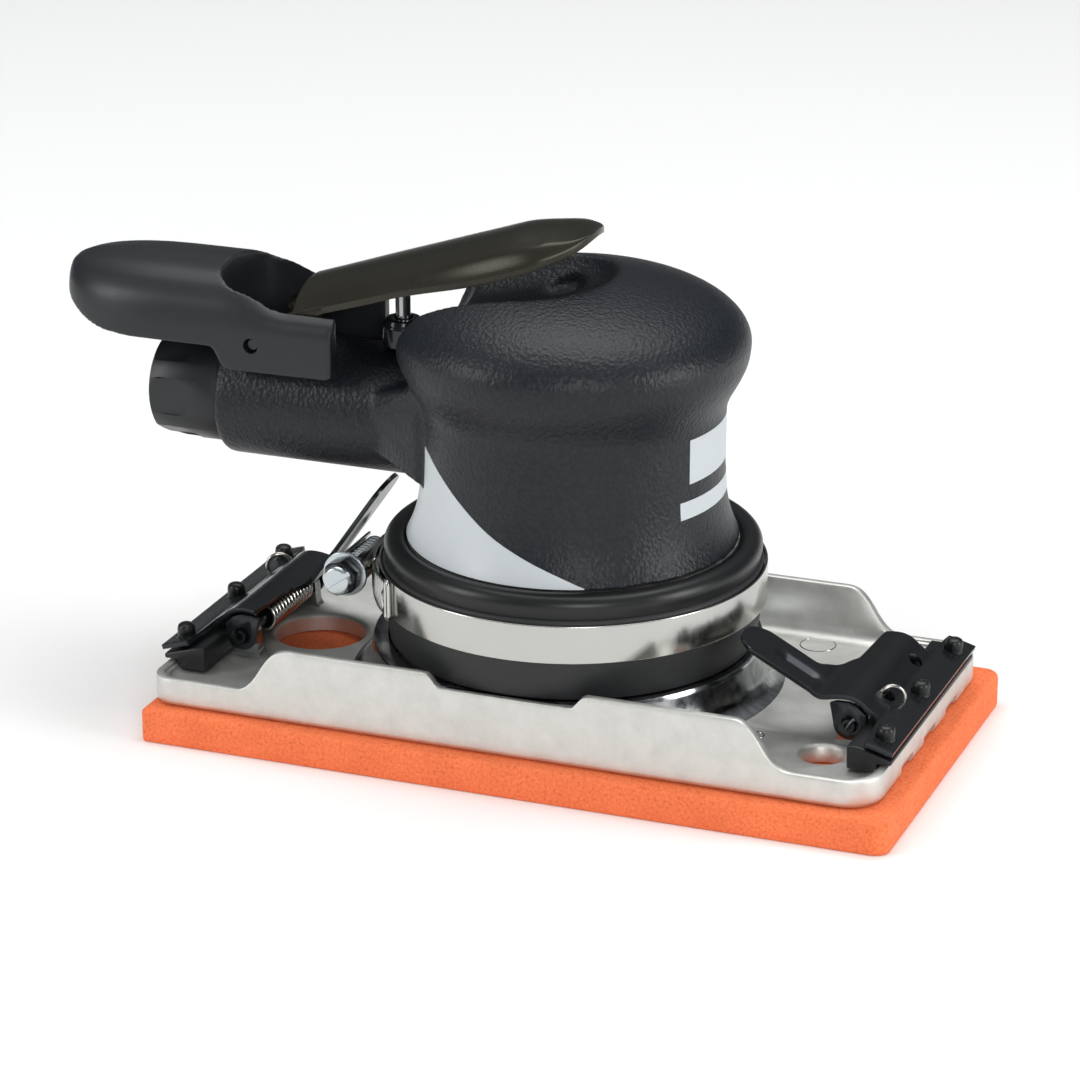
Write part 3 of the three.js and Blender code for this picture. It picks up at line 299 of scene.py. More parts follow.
# ---------------------------------------------------------------- materials
def linear(hexcode):
    """An sRGB hex colour as the linear colour that shaders take."""
    c = np.array([int(hexcode[i : i + 2], 16) for i in (0, 2, 4)]) / 255
    return (*np.where(c <= 0.04045, c / 12.92, ((c + 0.055) / 1.055) ** 2.4), 1.0)


def add(tree, kind, inputs=None, **settings):
    """Adds a node, sets its settings, and sets or links its inputs."""
    made = tree.nodes.new(kind)
    for key, value in settings.items():
        setattr(made, key, value)
    for key, value in (inputs or {}).items():
        if isinstance(value, bpy.types.NodeSocket):
            tree.links.new(value, made.inputs[key])
        else:
            made.inputs[key].default_value = value
    return made


def blank(name):
    """A new material with an empty node tree, and its Principled shader wired to the output."""
    material = bpy.data.materials.new(name)
    material.use_nodes = True
    tree = material.node_tree
    tree.nodes.clear()
    shader = add(tree, "ShaderNodeBsdfPrincipled")
    add(tree, "ShaderNodeOutputMaterial", {"Surface": shader.outputs[0]})
    return material, tree, shader


def ramp(tree, factor, stops):
    """A colour ramp between (position, hex) stops."""
    made = add(tree, "ShaderNodeValToRGB", {"Fac": factor})
    band = made.color_ramp
    while len(band.elements) < len(stops):
        band.elements.new(0.5)
    for element, (position, colour) in zip(band.elements, stops):
        element.position = position
        element.color = linear(colour)
    return made.outputs["Color"]


def stretched(tree, scale):
    """Object coordinates with each axis scaled, so a noise over them runs in streaks."""
    where = add(tree, "ShaderNodeTexCoord").outputs["Object"]
    return add(tree, "ShaderNodeMapping", {"Vector": where, "Scale": scale}).outputs["Vector"]


def bumped(tree, shader, height, strength, millimetres):
    """Raises a height pattern on the shader's normal by a real depth."""
    made = add(tree, "ShaderNodeBump", {"Height": height, "Strength": strength, "Distance": millimetres * MM})
    tree.links.new(made.outputs["Normal"], shader.inputs["Normal"])
    return made


def sponge_rubber():
    # Open-cell sponge rubber, skived to thickness: cut cells about 0.5 mm across give fine darker specks.
    material, tree, shader = blank("Sponge rubber, skived")
    where = stretched(tree, (1, 1, 1))
    cells = add(tree, "ShaderNodeTexNoise", {"Vector": where, "Scale": 1400, "Detail": 3, "Roughness": 0.6})
    clouds = add(tree, "ShaderNodeTexNoise", {"Vector": where, "Scale": 90, "Detail": 3})
    pores = ramp(tree, cells.outputs["Fac"], [(0.3, "d8683e"), (0.42, "f2784a"), (0.7, "fb8a59")])
    shade = ramp(tree, clouds.outputs["Fac"], [(0.3, "f4f0ee"), (0.7, "ffffff")])
    mixed = add(tree, "ShaderNodeMix", {"Factor": 1.0, "A": pores, "B": shade}, data_type="RGBA", blend_type="MULTIPLY")
    tree.links.new(mixed.outputs["Result"], shader.inputs["Base Color"])
    shader.inputs["Roughness"].default_value = 0.92
    shader.inputs["Specular IOR Level"].default_value = 0.25
    bumped(tree, shader, cells.outputs["Fac"], 0.35, 0.2)
    return material


def cast_aluminium():
    # Die-cast aluminium, vibratory finished: faint mottling 3 mm across on an even silver-white satin.
    material, tree, shader = blank("Aluminium, die cast and tumbled")
    where = stretched(tree, (1, 1, 1))
    mottle = add(tree, "ShaderNodeTexNoise", {"Vector": where, "Scale": 220, "Detail": 6, "Roughness": 0.62})
    grain = add(tree, "ShaderNodeTexNoise", {"Vector": where, "Scale": 1500, "Detail": 2})
    colour = ramp(tree, mottle.outputs["Fac"], [(0.3, "cfcfca"), (0.7, "dededa")])
    rough = add(tree, "ShaderNodeMapRange", {"Value": mottle.outputs["Fac"], "To Min": 0.42, "To Max": 0.58})
    tree.links.new(colour, shader.inputs["Base Color"])
    tree.links.new(rough.outputs["Result"], shader.inputs["Roughness"])
    shader.inputs["Metallic"].default_value = 1.0
    bumped(tree, shader, grain.outputs["Fac"], 0.12, 0.08)
    return material


def bright_aluminium():
    # The same casting inside the tray and on its lip, bright from the die: clear reflections with soft ripples, and a
    # darker streaked colour that is painted reflection.
    material, tree, shader = blank("Aluminium, die cast and bright")
    where = stretched(tree, (1, 1, 1))
    ripple = add(tree, "ShaderNodeTexNoise", {"Vector": where, "Scale": 120, "Detail": 4, "Roughness": 0.55})
    gloss_and_painted_reflection = add(tree, "ShaderNodeTexNoise", {"Vector": stretched(tree, (0.35, 1.4, 1)), "Scale": 420, "Detail": 3})
    # painted reflection: the dark grey base and its light and dark streaks stand in for the dim surroundings that the
    # glossy floor reflects; the roughness streaks are real
    colour = ramp(tree, gloss_and_painted_reflection.outputs["Fac"], [(0.3, "8d9093"), (0.7, "b4b6b8")])
    rough = add(tree, "ShaderNodeMapRange", {"Value": gloss_and_painted_reflection.outputs["Fac"], "To Min": 0.1, "To Max": 0.24})
    tree.links.new(colour, shader.inputs["Base Color"])
    tree.links.new(rough.outputs["Result"], shader.inputs["Roughness"])
    shader.inputs["Metallic"].default_value = 1.0
    bumped(tree, shader, ripple.outputs["Fac"], 0.25, 0.35)
    return material


def grained_nylon():
    # Glass-filled nylon from a leather-grained mould: cells about 1.3 mm across, with a line where the mould parts.
    material, tree, shader = blank("Glass-filled nylon, leather-grain moulded")
    where = stretched(tree, (1, 1, 0.8))
    wander = add(tree, "ShaderNodeTexNoise", {"Vector": where, "Scale": 500, "Detail": 2})
    push = add(
        tree, "ShaderNodeMix", {"Factor": 0.0012, "A": where, "B": wander.outputs["Color"]},
        data_type="RGBA", blend_type="ADD", clamp_result=False,
    )
    skin = add(
        tree, "ShaderNodeTexVoronoi", {"Vector": push.outputs["Result"], "Scale": 1050, "Smoothness": 0.25},
        feature="SMOOTH_F1",
    )
    fine = add(tree, "ShaderNodeTexNoise", {"Vector": where, "Scale": 1700, "Detail": 3})
    height = add(
        tree, "ShaderNodeMath", {0: skin.outputs["Distance"], 1: fine.outputs["Fac"]}, operation="ADD"
    )
    colour = ramp(tree, skin.outputs["Distance"], [(0.1, "1b2025"), (0.75, "11151a")])
    tree.links.new(colour, shader.inputs["Base Color"])
    shader.inputs["Roughness"].default_value = 0.4
    shader.inputs["Specular IOR Level"].default_value = 0.34
    bumped(tree, shader, height.outputs["Value"], 0.6, 0.2)
    return material


def plain_finish(name, colour, roughness, metallic=0.0, scale=300.0, bump=0.1, depth=0.05, vary=0.06, level=0.5,
                 stretch=(1, 1, 1)):
    """One colour with an even fine grain: noise moves the roughness by `vary` and the surface by `depth` mm."""
    material, tree, shader = blank(name)
    noise = add(tree, "ShaderNodeTexNoise", {"Vector": stretched(tree, stretch), "Scale": scale, "Detail": 4})
    rough = add(
        tree, "ShaderNodeMapRange",
        {"Value": noise.outputs["Fac"], "To Min": roughness - vary, "To Max": roughness + vary},
    )
    tree.links.new(rough.outputs["Result"], shader.inputs["Roughness"])
    shader.inputs["Base Color"].default_value = linear(colour)
    shader.inputs["Metallic"].default_value = metallic
    if not metallic:
        shader.inputs["Specular IOR Level"].default_value = level
    bumped(tree, shader, noise.outputs["Fac"], bump, depth)
    return material


FINISHES = {}


def make_finishes():
    """Every finish on the sander, by the name of the record's material slot, with a few more for its details."""
    FINISHES.update(
        orange_foam=sponge_rubber(),
        cast_aluminium=cast_aluminium(),
        bright_aluminium=bright_aluminium(),
        grained_composite=grained_nylon(),
        # Nylon moulded in a spark-eroded tool: an even dark grey satin.
        smooth_plastic=plain_finish("Nylon, satin moulded", "1f2124", 0.4, scale=900, bump=0.12, depth=0.06, level=0.4),
        # Nitrile rubber from a polished mould: black with a soft sheen.
        black_rubber=plain_finish(
            "Nitrile rubber, moulded", "141516", 0.36, scale=160, bump=0.1, depth=0.08, level=0.4
        ),
        # The shroud's skirt, where the rubber is duller and dusty.
        dull_rubber=plain_finish("Nitrile rubber, dull moulded", "1c1d1f", 0.55, scale=700, bump=0.15, depth=0.08),
        # Stainless strip, cold rolled: bright with hair-fine lines across its width.
        stainless_band=plain_finish(
            "Stainless strip, cold rolled", "bfbfbb", 0.17, 1.0, scale=260, bump=0.1, depth=0.05, vary=0.07,
            stretch=(5, 5, 0.4),
        ),
        # Steel, zinc plated and blue passivated: bright and slightly cool.
        zinc_plate=plain_finish("Steel, zinc plated", "c3cacd", 0.24, 1.0, scale=260, bump=0.12, depth=0.05, vary=0.08),
        # Spring steel, black oxide and oiled: dark, with sharp highlights.
        black_steel=plain_finish(
            "Spring steel, black oxide and oiled", "383b3e", 0.22, 0.8, scale=180, bump=0.08, depth=0.06
        ),
        # Sheet steel, manganese phosphate and oiled: olive black.
        lever_steel=plain_finish(
            "Sheet steel, phosphated and oiled", "302e25", 0.27, 0.55, scale=240, bump=0.1, depth=0.06
        ),
        steel=plain_finish("Steel, ground", "a9acae", 0.25, 1.0, scale=400, bump=0.08, depth=0.04),
        # Music wire, drawn: bright along each turn.
        spring_wire=plain_finish("Music wire, drawn", "b9b6b0", 0.2, 1.0, scale=500, bump=0.05, depth=0.02),
        bearing_steel=plain_finish(
            "Bearing steel, polished", "c4c4c0", 0.12, 1.0, scale=300, bump=0.02, depth=0.01, vary=0.03
        ),
        # Aluminium, hard anodised black: a matte dark grey.
        sleeve_black=plain_finish("Aluminium, hard anodised", "1e2022", 0.4, 0.2, scale=800, bump=0.12, depth=0.05),
        # Wool felt, needled.
        felt=plain_finish("Wool felt, needled", "8a8578", 0.95, scale=600, bump=0.6, depth=0.3, vary=0.02),
        # Fabric-reinforced phenolic, sawn.
        vane=plain_finish("Phenolic laminate, sawn", "6b4a2c", 0.7, scale=300, bump=0.2, depth=0.05),
        # Ink on the moulding: pale grey with a faint sheen.
        printed_grey=plain_finish("Screen ink, satin", "c6cccf", 0.4, scale=500, bump=0.08, depth=0.03),
    )


# ---------------------------------------------------------------- settings a user would change
class SanderPadSettings(bpy.types.PropertyGroup):
    """Sizes of the foam pad and of the aluminium tray on it."""

    foam_corner: FloatProperty(
        name="Foam corner", description="Radius of the foam's front corners", default=3.7 * MM, min=0, unit="LENGTH"
    )
    lip: FloatProperty(
        name="Lip", description="Rounding of the tray wall's top", default=0.55 * MM, min=0, unit="LENGTH"
    )
    fillet: FloatProperty(
        name="Fillet", description="Radius at the foot of the tray's wall", default=3.4 * MM, min=0, unit="LENGTH"
    )


class SanderClampSettings(bpy.types.PropertyGroup):
    """Sizes of the two paper clamps."""

    sheet: FloatProperty(name="Sheet", description="Thickness of the clamp's steel", default=1.1 * MM, unit="LENGTH")
    turns: IntProperty(name="Turns", description="Turns of each torsion spring", default=13, min=3, max=20)
    groove: FloatProperty(
        name="Groove", description="Depth of the channel pressed in the tongue", default=1.0 * MM, unit="LENGTH"
    )


class SanderGripSettings(bpy.types.PropertyGroup):
    """Finish of the grip cover."""

    skin: FloatProperty(
        name="Skin", description="Spacing of the moulded cover's mesh", default=0.62 * MM, min=0.3 * MM, unit="LENGTH"
    )
    ink: FloatProperty(name="Ink", description="How far the print stands proud", default=0.12 * MM, unit="LENGTH")


class SanderLeverSettings(bpy.types.PropertyGroup):
    """Sizes of the throttle lever."""

    crown: FloatProperty(name="Crown", description="Rise of the lever's middle", default=5.4 * MM, unit="LENGTH")
    sheet: FloatProperty(name="Sheet", description="Thickness of the lever's steel", default=1.5 * MM, unit="LENGTH")


class SanderStageSettings(bpy.types.PropertyGroup):
    """Floor, light and camera."""

    floor_colour: FloatVectorProperty(
        name="Floor", description="Colour of the floor", subtype="COLOR", size=4, default=linear("f7f7f6"), min=0, max=1
    )
    distance: FloatProperty(
        name="Distance", description="Camera's distance from the aim point", default=0.94319, unit="LENGTH"
    )
    azimuth: FloatProperty(
        name="Azimuth", description="Camera's turn about Z", default=np.radians(20.817), unit="ROTATION"
    )
    elevation: FloatProperty(
        name="Elevation", description="Camera's height angle", default=np.radians(20.476), unit="ROTATION"
    )


# ---------------------------------------------------------------- pad
def wall_top(x):
    """Height of the tray wall's top along X: low at the ends, an S-curve up to the sides, and a dip at the shroud.

    The S is the cubic with control heights low, low, high, high at x 66.5, 59.75, 59.75, 53 from the motor axis.
    """
    end, side, dip = PLATE_Z + 6.5, PLATE_Z + 17.3, LEDGE_Z
    t = np.linspace(0, 1, 60)
    curve_x = 53 * (1 - t) ** 3 + 3 * 59.75 * (1 - t) ** 2 * t + 3 * 59.75 * (1 - t) * t**2 + 66.5 * t**3
    curve_z = side * ((1 - t) ** 3 + 3 * (1 - t) ** 2 * t) + end * (3 * (1 - t) * t**2 + t**3)
    away = np.abs(x - MOTOR_X)
    high = np.interp(away, curve_x, curve_z)
    return high - (side - dip) * (1 - ease((away - 15.5) / 3.6))


def foam_shape(corner):
    """The foam: a soft-edged profile carried round a rectangle, with sharper rear corners."""
    rows = [(0.6, 0), (0.2, 0.08), (0.02, 0.5), (0, 3), (0, 6.7), (0.06, 7.2), (0.3, 7.65), (0.7, 7.95), (1.3, 8.1)]
    return round_the_path(rows, 89, 46.5, corner, 1.3, 0)


def tray_shape(lip, fillet):
    """The pad plate: wall, rounded lip, drafted inner face, fillet and floor, carried round a rounded rectangle."""
    path_x = rounded_path(86.7, 43.2, 8.5, 6)[:, 0] + PLATE_MID_X
    top = wall_top(path_x)
    rows = [(1.4, PLATE_Z), (0.5, PLATE_Z + 0.15), (0.1, PLATE_Z + 0.6), (0, PLATE_Z + 1.2)]
    rows += [(0, PLATE_Z + 3), (0, top - 1.6), (0, top - 1.0), (0.04, top - lip)]
    rows += [(0.3 * lip, top - 0.3 * lip), (lip, top), (2.2 - lip, top), (2.2 - 0.3 * lip, top - 0.3 * lip)]
    rows.append((2.2, top - lip))
    wall_foot = top - lip - 0.2
    radius = np.minimum(fillet, wall_foot - FLOOR_Z)
    for a in np.linspace(0, np.pi / 2, 9):
        drop = FLOOR_Z + radius * (1 - np.sin(a))
        rows.append((2.3 + 0.9 * min(1, a * 9) * (a == 0) + fillet * (1 - np.cos(a)) + 0.55, drop))
    return round_the_path(rows, 86.7, 43.2, 8.5, 6, PLATE_MID_X)


def tray_finish(mesh):
    """Face finishes of the tray: satin on the outer wall, bright wherever a face looks up or inwards, where the darker
    streaked colour is painted reflection.
    """
    count = len(mesh.polygons)
    centre, normal = np.empty(count * 3), np.empty(count * 3)
    mesh.polygons.foreach_get("center", centre)
    mesh.polygons.foreach_get("normal", normal)
    c, n = centre.reshape(-1, 3), normal.reshape(-1, 3)
    from_middle = c[:, :2] - [PLATE_MID_X * MM, 0]
    outward = (n[:, :2] * from_middle).sum(1) > 0
    satin = outward & (n[:, 2] < 0.75) & (np.abs(n[:, 2]) < 0.9)
    near_edge = (np.abs(from_middle[:, 0]) > 84 * MM) | (np.abs(c[:, 1]) > 42.4 * MM)
    # faces looking up or inwards take the glossy aluminium, whose darker streaked colour is painted reflection
    mesh.polygons.foreach_set("material_index", np.where(satin & near_edge, 0, 1).astype(np.int32))


def seat_shape():
    """The ring under the shroud: a profile turned about Z, flaring into the floor and cut flat at the walls."""
    profile = flowing([[50.6, 12.6], [49.2, 12.95], [47.7, 13.9], [46.3, 16.0], [45.4, 19.0], [44.9, 21.9]], 4)
    inner = [[44.6, 22.45], [44.1, LEDGE_Z], [41.5, LEDGE_Z], [41.2, LEDGE_Z - 0.4], [41.2, 12.2], [50.6, 12.2]]
    profile = np.vstack([profile, inner])
    points, faces = turned(profile, 180, PLATE_MID_X)
    points[:, 1] = np.clip(points[:, 1], -42.2, 42.2)
    return points, faces


def ejector_mark(x, y, radius=4.2):
    """The faint ring that an ejector pin leaves on the floor: a shallow half-round ridge turned about the pin."""
    low, high = FLOOR_Z - 0.3, FLOOR_Z + 0.12
    ridge = [[radius - 0.35, low], [radius - 0.1, high], [radius + 0.1, high], [radius + 0.35, low]]
    return turned(ridge, 48, x, y)


def lug_shape(side):
    """One upright ear of the tray that carries a clamp's pin."""
    half = np.array([[4.6, FLOOR_Z - 1], [3.2, FLOOR_Z + 1.2], [3, PIVOT_Z + 1], [1.6, PIVOT_Z + 2.8]])
    outline = np.vstack([half * [-1, 1], half[::-1]]) + [PIVOT, 0]
    return prism(eased(outline, 1.1), side * 16.6 - 1.5, side * 16.6 + 1.5, "y")


class SANDER_OT_foam_pad(bpy.types.Operator):
    """Builds the foam pad"""

    bl_idname = "sander.foam_pad"
    bl_label = "Foam Pad"

    def execute(self, context):
        settings = context.scene.sander_pad
        shape = foam_shape(settings.foam_corner / MM)
        pad = piece("pad_foam", shape, "pad", "orange_foam", FINISHES["orange_foam"], stands_for=["foam_pad"], sharp=60)
        return {"FINISHED"}


class SANDER_OT_pad_tray(bpy.types.Operator):
    """Builds the cast tray that carries the foam, with its port holes and clamp lugs"""

    bl_idname = "sander.pad_tray"
    bl_label = "Pad Tray"

    def execute(self, context):
        settings = context.scene.sander_pad
        cuts = []
        for x, y, r, rim in ((67.8, -25.4, 5, 1.1), (-65.1, 1.5, 10.7, 1.3)):
            bore = [[0, 6], [r, 6], [r, FLOOR_Z - 0.9], [r + 0.35 * rim, FLOOR_Z - 0.35], [r + rim, FLOOR_Z + 0.02]]
            cuts.append(turned(bore + [[r + rim, 15], [0, 15]], 72, x, y))
        for end in (1, -1):
            for y in (-17.5, 0, 17.5):
                notch = [[85.5, 8], [90, 8], [90, 10.9], [86, 10.9], [85.5, 10.4]]
                cuts.append(at_end(prism(eased(notch, 0.4), y - 4.4, y + 4.4, "y"), end))
        mesh = worked("tray", tray_shape(settings.lip / MM, settings.fillet / MM), ("DIFFERENCE", together(*cuts)))
        finishes = (FINISHES["cast_aluminium"], FINISHES["bright_aluminium"])
        tray_finish(mesh)
        piece("pad_tray", mesh, "pad", "cast_aluminium", *finishes, stands_for=["pad_plate"], sharp=38)
        extras = [seat_shape(), ejector_mark(47.6, 34.6), ejector_mark(51, -20.9, 1.6), ejector_mark(-52, 30)]
        extras += [at_end(lug_shape(side), end) for end in (1, -1) for side in (1, -1)]
        bright = FINISHES["bright_aluminium"]
        piece("tray_seat_and_lugs", together(*extras), "pad", "cast_aluminium", bright, stands_for=["pad_plate"])
        return {"FINISHED"}


# ---------------------------------------------------------------- paper clamps
def clamp_line(length, rise):
    """The clamp's middle line from jaw edge to tongue tip, as (distance out, height) points of even spacing."""
    slope = np.radians(rise)
    root = np.array([PIVOT - 7.2, 23.2])
    tip = root + length * np.array([-np.cos(slope), np.sin(slope)])
    jaw = lambda x: 19.8 - (x - 79.6) * np.tan(np.radians(16))
    bends = [[87.6, jaw(87.6)], [85, jaw(85)], [82.5, jaw(82.5)], [80.6, jaw(80.6)], [79.4, 20.4], [77.6, 21.7],
             [75.9, 23.1], [73.8, 23.8], [71, 23.7], root + [0.8, -0.1], root + [-0.9, 0.55 * np.tan(slope)]]
    along = np.linspace(0.12, 1, 9)[:, None]
    line = flowing(np.vstack([bends, root * (1 - along) + tip * along]), 8)
    step = np.r_[0, np.cumsum(np.linalg.norm(np.diff(line, axis=0), axis=1))]
    even = np.linspace(0, step[-1], 150)
    return np.column_stack([np.interp(even, step, line[:, 0]), np.interp(even, step, line[:, 1])]), even


def clamp_surface(length, rise, groove):
    """The clamp's sheet as a grid: the middle line along it, and across it from its low to its high edge.

    The width steps from the jaw's 66 mm to the shoulder's 40 mm, flares in to the 12 mm tongue, and closes in a
    half circle at the tip. A channel is pressed down the tongue's middle: depth x cos^2 across, eased along.
    """
    line, s = clamp_line(length, rise)
    out = line[:, 0]
    end = s[-1] - s
    jaw = ease((out - 79.7) / 1.6)
    low = -20 - 13 * jaw
    high = 20 + 13 * jaw - 17 * ease((70.3 - out) / 1.2) - 11 * ease((69.6 - out) / 8)
    tip = np.sqrt(np.clip(1 - (1 - np.clip(end / 6, 0, 1)) ** 2, 0.0004, 1))
    middle = (low + high) / 2
    low, high = middle + (low - middle) * tip, middle + (high - middle) * tip
    t = np.linspace(0, 1, 61)[None, :]
    y = low[:, None] * (1 - t) + high[:, None] * t
    x = np.broadcast_to(out[:, None], y.shape)
    z = np.broadcast_to(line[:, 1][:, None], y.shape).copy()
    across = np.clip(np.abs(y + 14) / 3.2, 0, 1)
    down = groove * ease((66.5 - out) / 4) * ease((end - 0.36 * length) / 3)
    z -= down[:, None] * np.cos(across * np.pi / 2) ** 2
    return np.stack([x, y, z], -1)


def clamp_ear(side, thickness):
    """One ear of the clamp, round the pin."""
    a = np.linspace(np.pi, 2 * np.pi, 14)
    arc = np.column_stack([PIVOT + 3.7 * np.cos(a), PIVOT_Z + 3.7 * np.sin(a)])
    top = [[PIVOT + 3.9, 20.6], [PIVOT + 1.9, 22.4], [PIVOT, 23.3], [PIVOT - 3, 23.2], [PIVOT - 4.6, 22.6]]
    y = side * (20 - thickness / 2)
    return prism(np.vstack([arc, top]), y - thickness / 2, y + thickness / 2, "y")


def nub(y):
    """A rubber nub that holds the strip in the jaw: a stem with a rounded head."""
    profile = [[0, 16.2], [2.3, 16.2], [2.3, 18.6], [2.0, 19.4], [2.1, 20.9], [1.9, 21.9], [1.1, 22.4], [0, 22.5]]
    return turned(eased(profile, 0.6), 28, PIVOT + 10.6, y)


def coil(y0, y1, turns, radius, thick):
    """A close-wound spring round the pin: (cos, sin) about the pin's axis with an even pitch along Y."""
    t = np.linspace(0, 1, turns * 18)
    a = 2 * np.pi * turns * t
    spoke = np.column_stack([np.cos(a), np.zeros_like(a), np.sin(a)])
    path = spoke * radius + np.column_stack([np.full_like(a, PIVOT), y0 + (y1 - y0) * t, np.full_like(a, PIVOT_Z)])
    return wire(path, thick, spoke, 8)


def hoop(x, y, z, radius, thick, lean):
    """A closed wire ring that stands across the jaw, leaning about Z."""
    a = np.linspace(0, 2 * np.pi, 40, endpoint=False)
    spoke = np.column_stack([np.cos(a) * np.cos(lean), np.cos(a) * np.sin(lean), np.sin(a)])
    return wire(spoke * radius + [x, y, z], thick, spoke, 10, True)


def split_pin():
    """The rolled pin: a C section with a slit, carried along Y."""
    a = np.radians(np.linspace(70, 395, 30))
    ring = np.column_stack([np.cos(a), np.sin(a)])
    outline = np.vstack([1.5 * ring, 0.85 * ring[::-1]]) + [PIVOT, PIVOT_Z]
    return prism(outline, -20.9, 20.9, "y")


class SANDER_OT_paper_clamps(bpy.types.Operator):
    """Builds the two sprung clamps that hold the paper"""

    bl_idname = "sander.paper_clamps"
    bl_label = "Paper Clamps"

    def execute(self, context):
        settings = context.scene.sander_clamps
        thick = settings.sheet / MM
        for end, sign, length, rise in (("front", 1, 22.5, 28), ("rear", -1, 31.2, 55.2)):
            body = end + "_clamp"
            surface = clamp_surface(length, rise, settings.groove / MM)
            holes = [turned([[0, 10], [2.3, 10], [2.3, 30], [0, 30]], 28, PIVOT + 10.6, y) for y in (-27, 0, 27)]
            oval = np.column_stack([PIVOT + 5.6 + 1.5 * np.cos(np.linspace(0, 2 * np.pi, 24, endpoint=False)),
                                    2.3 * np.sin(np.linspace(0, 2 * np.pi, 24, endpoint=False))])
            holes += [prism(oval + [0, y], 14, 27) for y in (-9, 12.5)]
            plate = worked("clamp", at_end(sheet(surface, thick), sign),
                           ("DIFFERENCE", at_end(together(*holes), sign)), ("BEVEL", 0.22, 2))
            ears = worked("ears", at_end(together(clamp_ear(1, thick), clamp_ear(-1, thick)), sign),
                          ("DIFFERENCE", at_end(rod(1.8, -30, 30, PIVOT, PIVOT_Z), sign)), ("BEVEL", 0.22, 2))
            black = FINISHES["black_steel"]
            piece(end + "_clamp_sheet", plate, body, "black_steel", black, stands_for=[end + "_clamp_plate"])
            piece(end + "_clamp_ears", ears, body, "black_steel", black, stands_for=[end + "_clamp_plate"])
            back = PIVOT + 3.4
            strip = [[back, 13.3], [84.1, 13.3], [84.1, 15.3], [87.4, 15.3], [87.4, 16.5], [79.8, 18.7], [back, 18.7]]
            rubber = worked("jaw", at_end(prism(strip, -32.8, 32.8, "y"), sign), ("BEVEL", 0.45, 3))
            piece(end + "_jaw_strip", rubber, body, "black_rubber", FINISHES["black_rubber"],
                  stands_for=[end + "_jaw_rubber"])
            piece(end + "_jaw_nubs", at_end(together(*(nub(y) for y in (-27, 0, 27))), sign), body, "black_rubber",
                  FINISHES["black_rubber"], stands_for=[end + "_jaw_rubber"], sharp=60)
            piece(end + "_pin", at_end(split_pin(), sign), "pad", "steel", black,
                  stands_for=[end + "_pivot_pin"])
            start, stop = (-8, 13.8) if sign > 0 else (-13.8, 8)
            spring = coil(start, stop, settings.turns, 2.75, 0.72)
            ring_at = (PIVOT + 6.4, -8.7, 20.9) if sign > 0 else (PIVOT + 7.4, -17.6, 20.9)
            ring = hoop(*ring_at, 2.9, 0.5, 0.5)
            piece(end + "_spring", at_end(spring, sign), "pad", "steel", FINISHES["spring_wire"],
                  stands_for=[end + "_clamp_spring"], sharp=80)
            piece(end + "_spring_eye", at_end(ring, sign), body, "steel", FINISHES["spring_wire"], sharp=80)
        return {"FINISHED"}


# ---------------------------------------------------------------- shroud, band and worm drive
def shroud_shape():
    """The rubber shroud: a round bead on a flat shoulder over a straight skirt, turned about the motor axis."""
    a = np.linspace(-0.35, 2.5, 18)
    bead = np.column_stack([40.4 + 2.9 * np.cos(a), 44.6 + 2.9 * np.sin(a)])
    low = [[40.4, LEDGE_Z + 0.3], [41.8, LEDGE_Z + 0.3], [42.2, LEDGE_Z + 0.8], [43.5, 32.0]]
    low += [[43.6, 41.3], [43.4, 41.9], [42.9, 42.1]]
    inner = [[38.5, 45.2], [38.5, 40.4], [40.4, 38]]
    return turned(np.vstack([low, bead, inner]), 180, MOTOR_X)


def band_shape():
    """The band: a thin strip with eased edges turned about the motor axis."""
    edge = eased([[43.9, 32.4], [44.5, 32.4], [44.5, 41.2], [43.9, 41.2]], 0.2, 3)
    return turned(edge, 240, MOTOR_X)


def band_tail():
    """The band's slotted tail near the worm: a strip with slanting ridges pressed across it."""
    a = np.radians(np.linspace(204, 221, 120))[:, None]
    z = np.linspace(32.9, 40.7, 24)[None, :]
    ridge = 0.5 + 0.5 * np.cos((a * 44.5 + 0.35 * (z - 36.8)) * 2 * np.pi / 1.55)
    fade = np.clip(np.sin(np.pi * (z - 32.9) / 7.8), 0, 1) ** 0.5
    r = 45.2 + 0.45 * ridge * fade
    return sheet(np.stack([MOTOR_X + r * np.cos(a), r * np.sin(a), z + 0 * a], -1), -0.5)


def saddle_end():
    """The rolled end of the worm's housing where it wraps the band: a flat wire loop bent to the band's curve."""
    half_w, half_h, r = 1.0, 4.6, 0.9
    loop = rounded_path(half_w, half_h, r, r, along=6, across=20, corner=6)
    a = np.radians(223.0) + loop[:, 0] / 45.4
    path = np.column_stack([MOTOR_X + 45.3 * np.cos(a), 45.3 * np.sin(a), WORM_Z + loop[:, 1]])
    spoke = np.column_stack([np.cos(a), np.sin(a), 0 * a])
    return wire(path, 0.5, spoke, 8, True)


def worm_cover():
    """The worm's housing: a half-round roof over the screw on two straight cheeks, carried along Y."""
    a = np.linspace(-0.35 * np.pi, 1.35 * np.pi, 30) + np.pi / 2
    roof = np.column_stack([WORM_X - 4.1 * np.sin(a), WORM_Z + 4.1 * np.cos(a)])
    inner = np.column_stack([WORM_X - 3.3 * np.sin(a), WORM_Z + 3.3 * np.cos(a)])
    return prism(np.vstack([roof, inner[::-1]]), -16.8, -0.4, "y")


def worm_foot():
    """The flat foot of the housing against the band: an arc strip."""
    a = np.radians(np.linspace(181.5, 203, 40))[:, None]
    z = np.linspace(32.7, 40.9, 8)[None, :]
    r = 45.9 + 0 * a
    return sheet(np.stack([MOTOR_X + r * np.cos(a) + 0 * z, r * np.sin(a) + 0 * z, z + 0 * a], -1), 0.8)


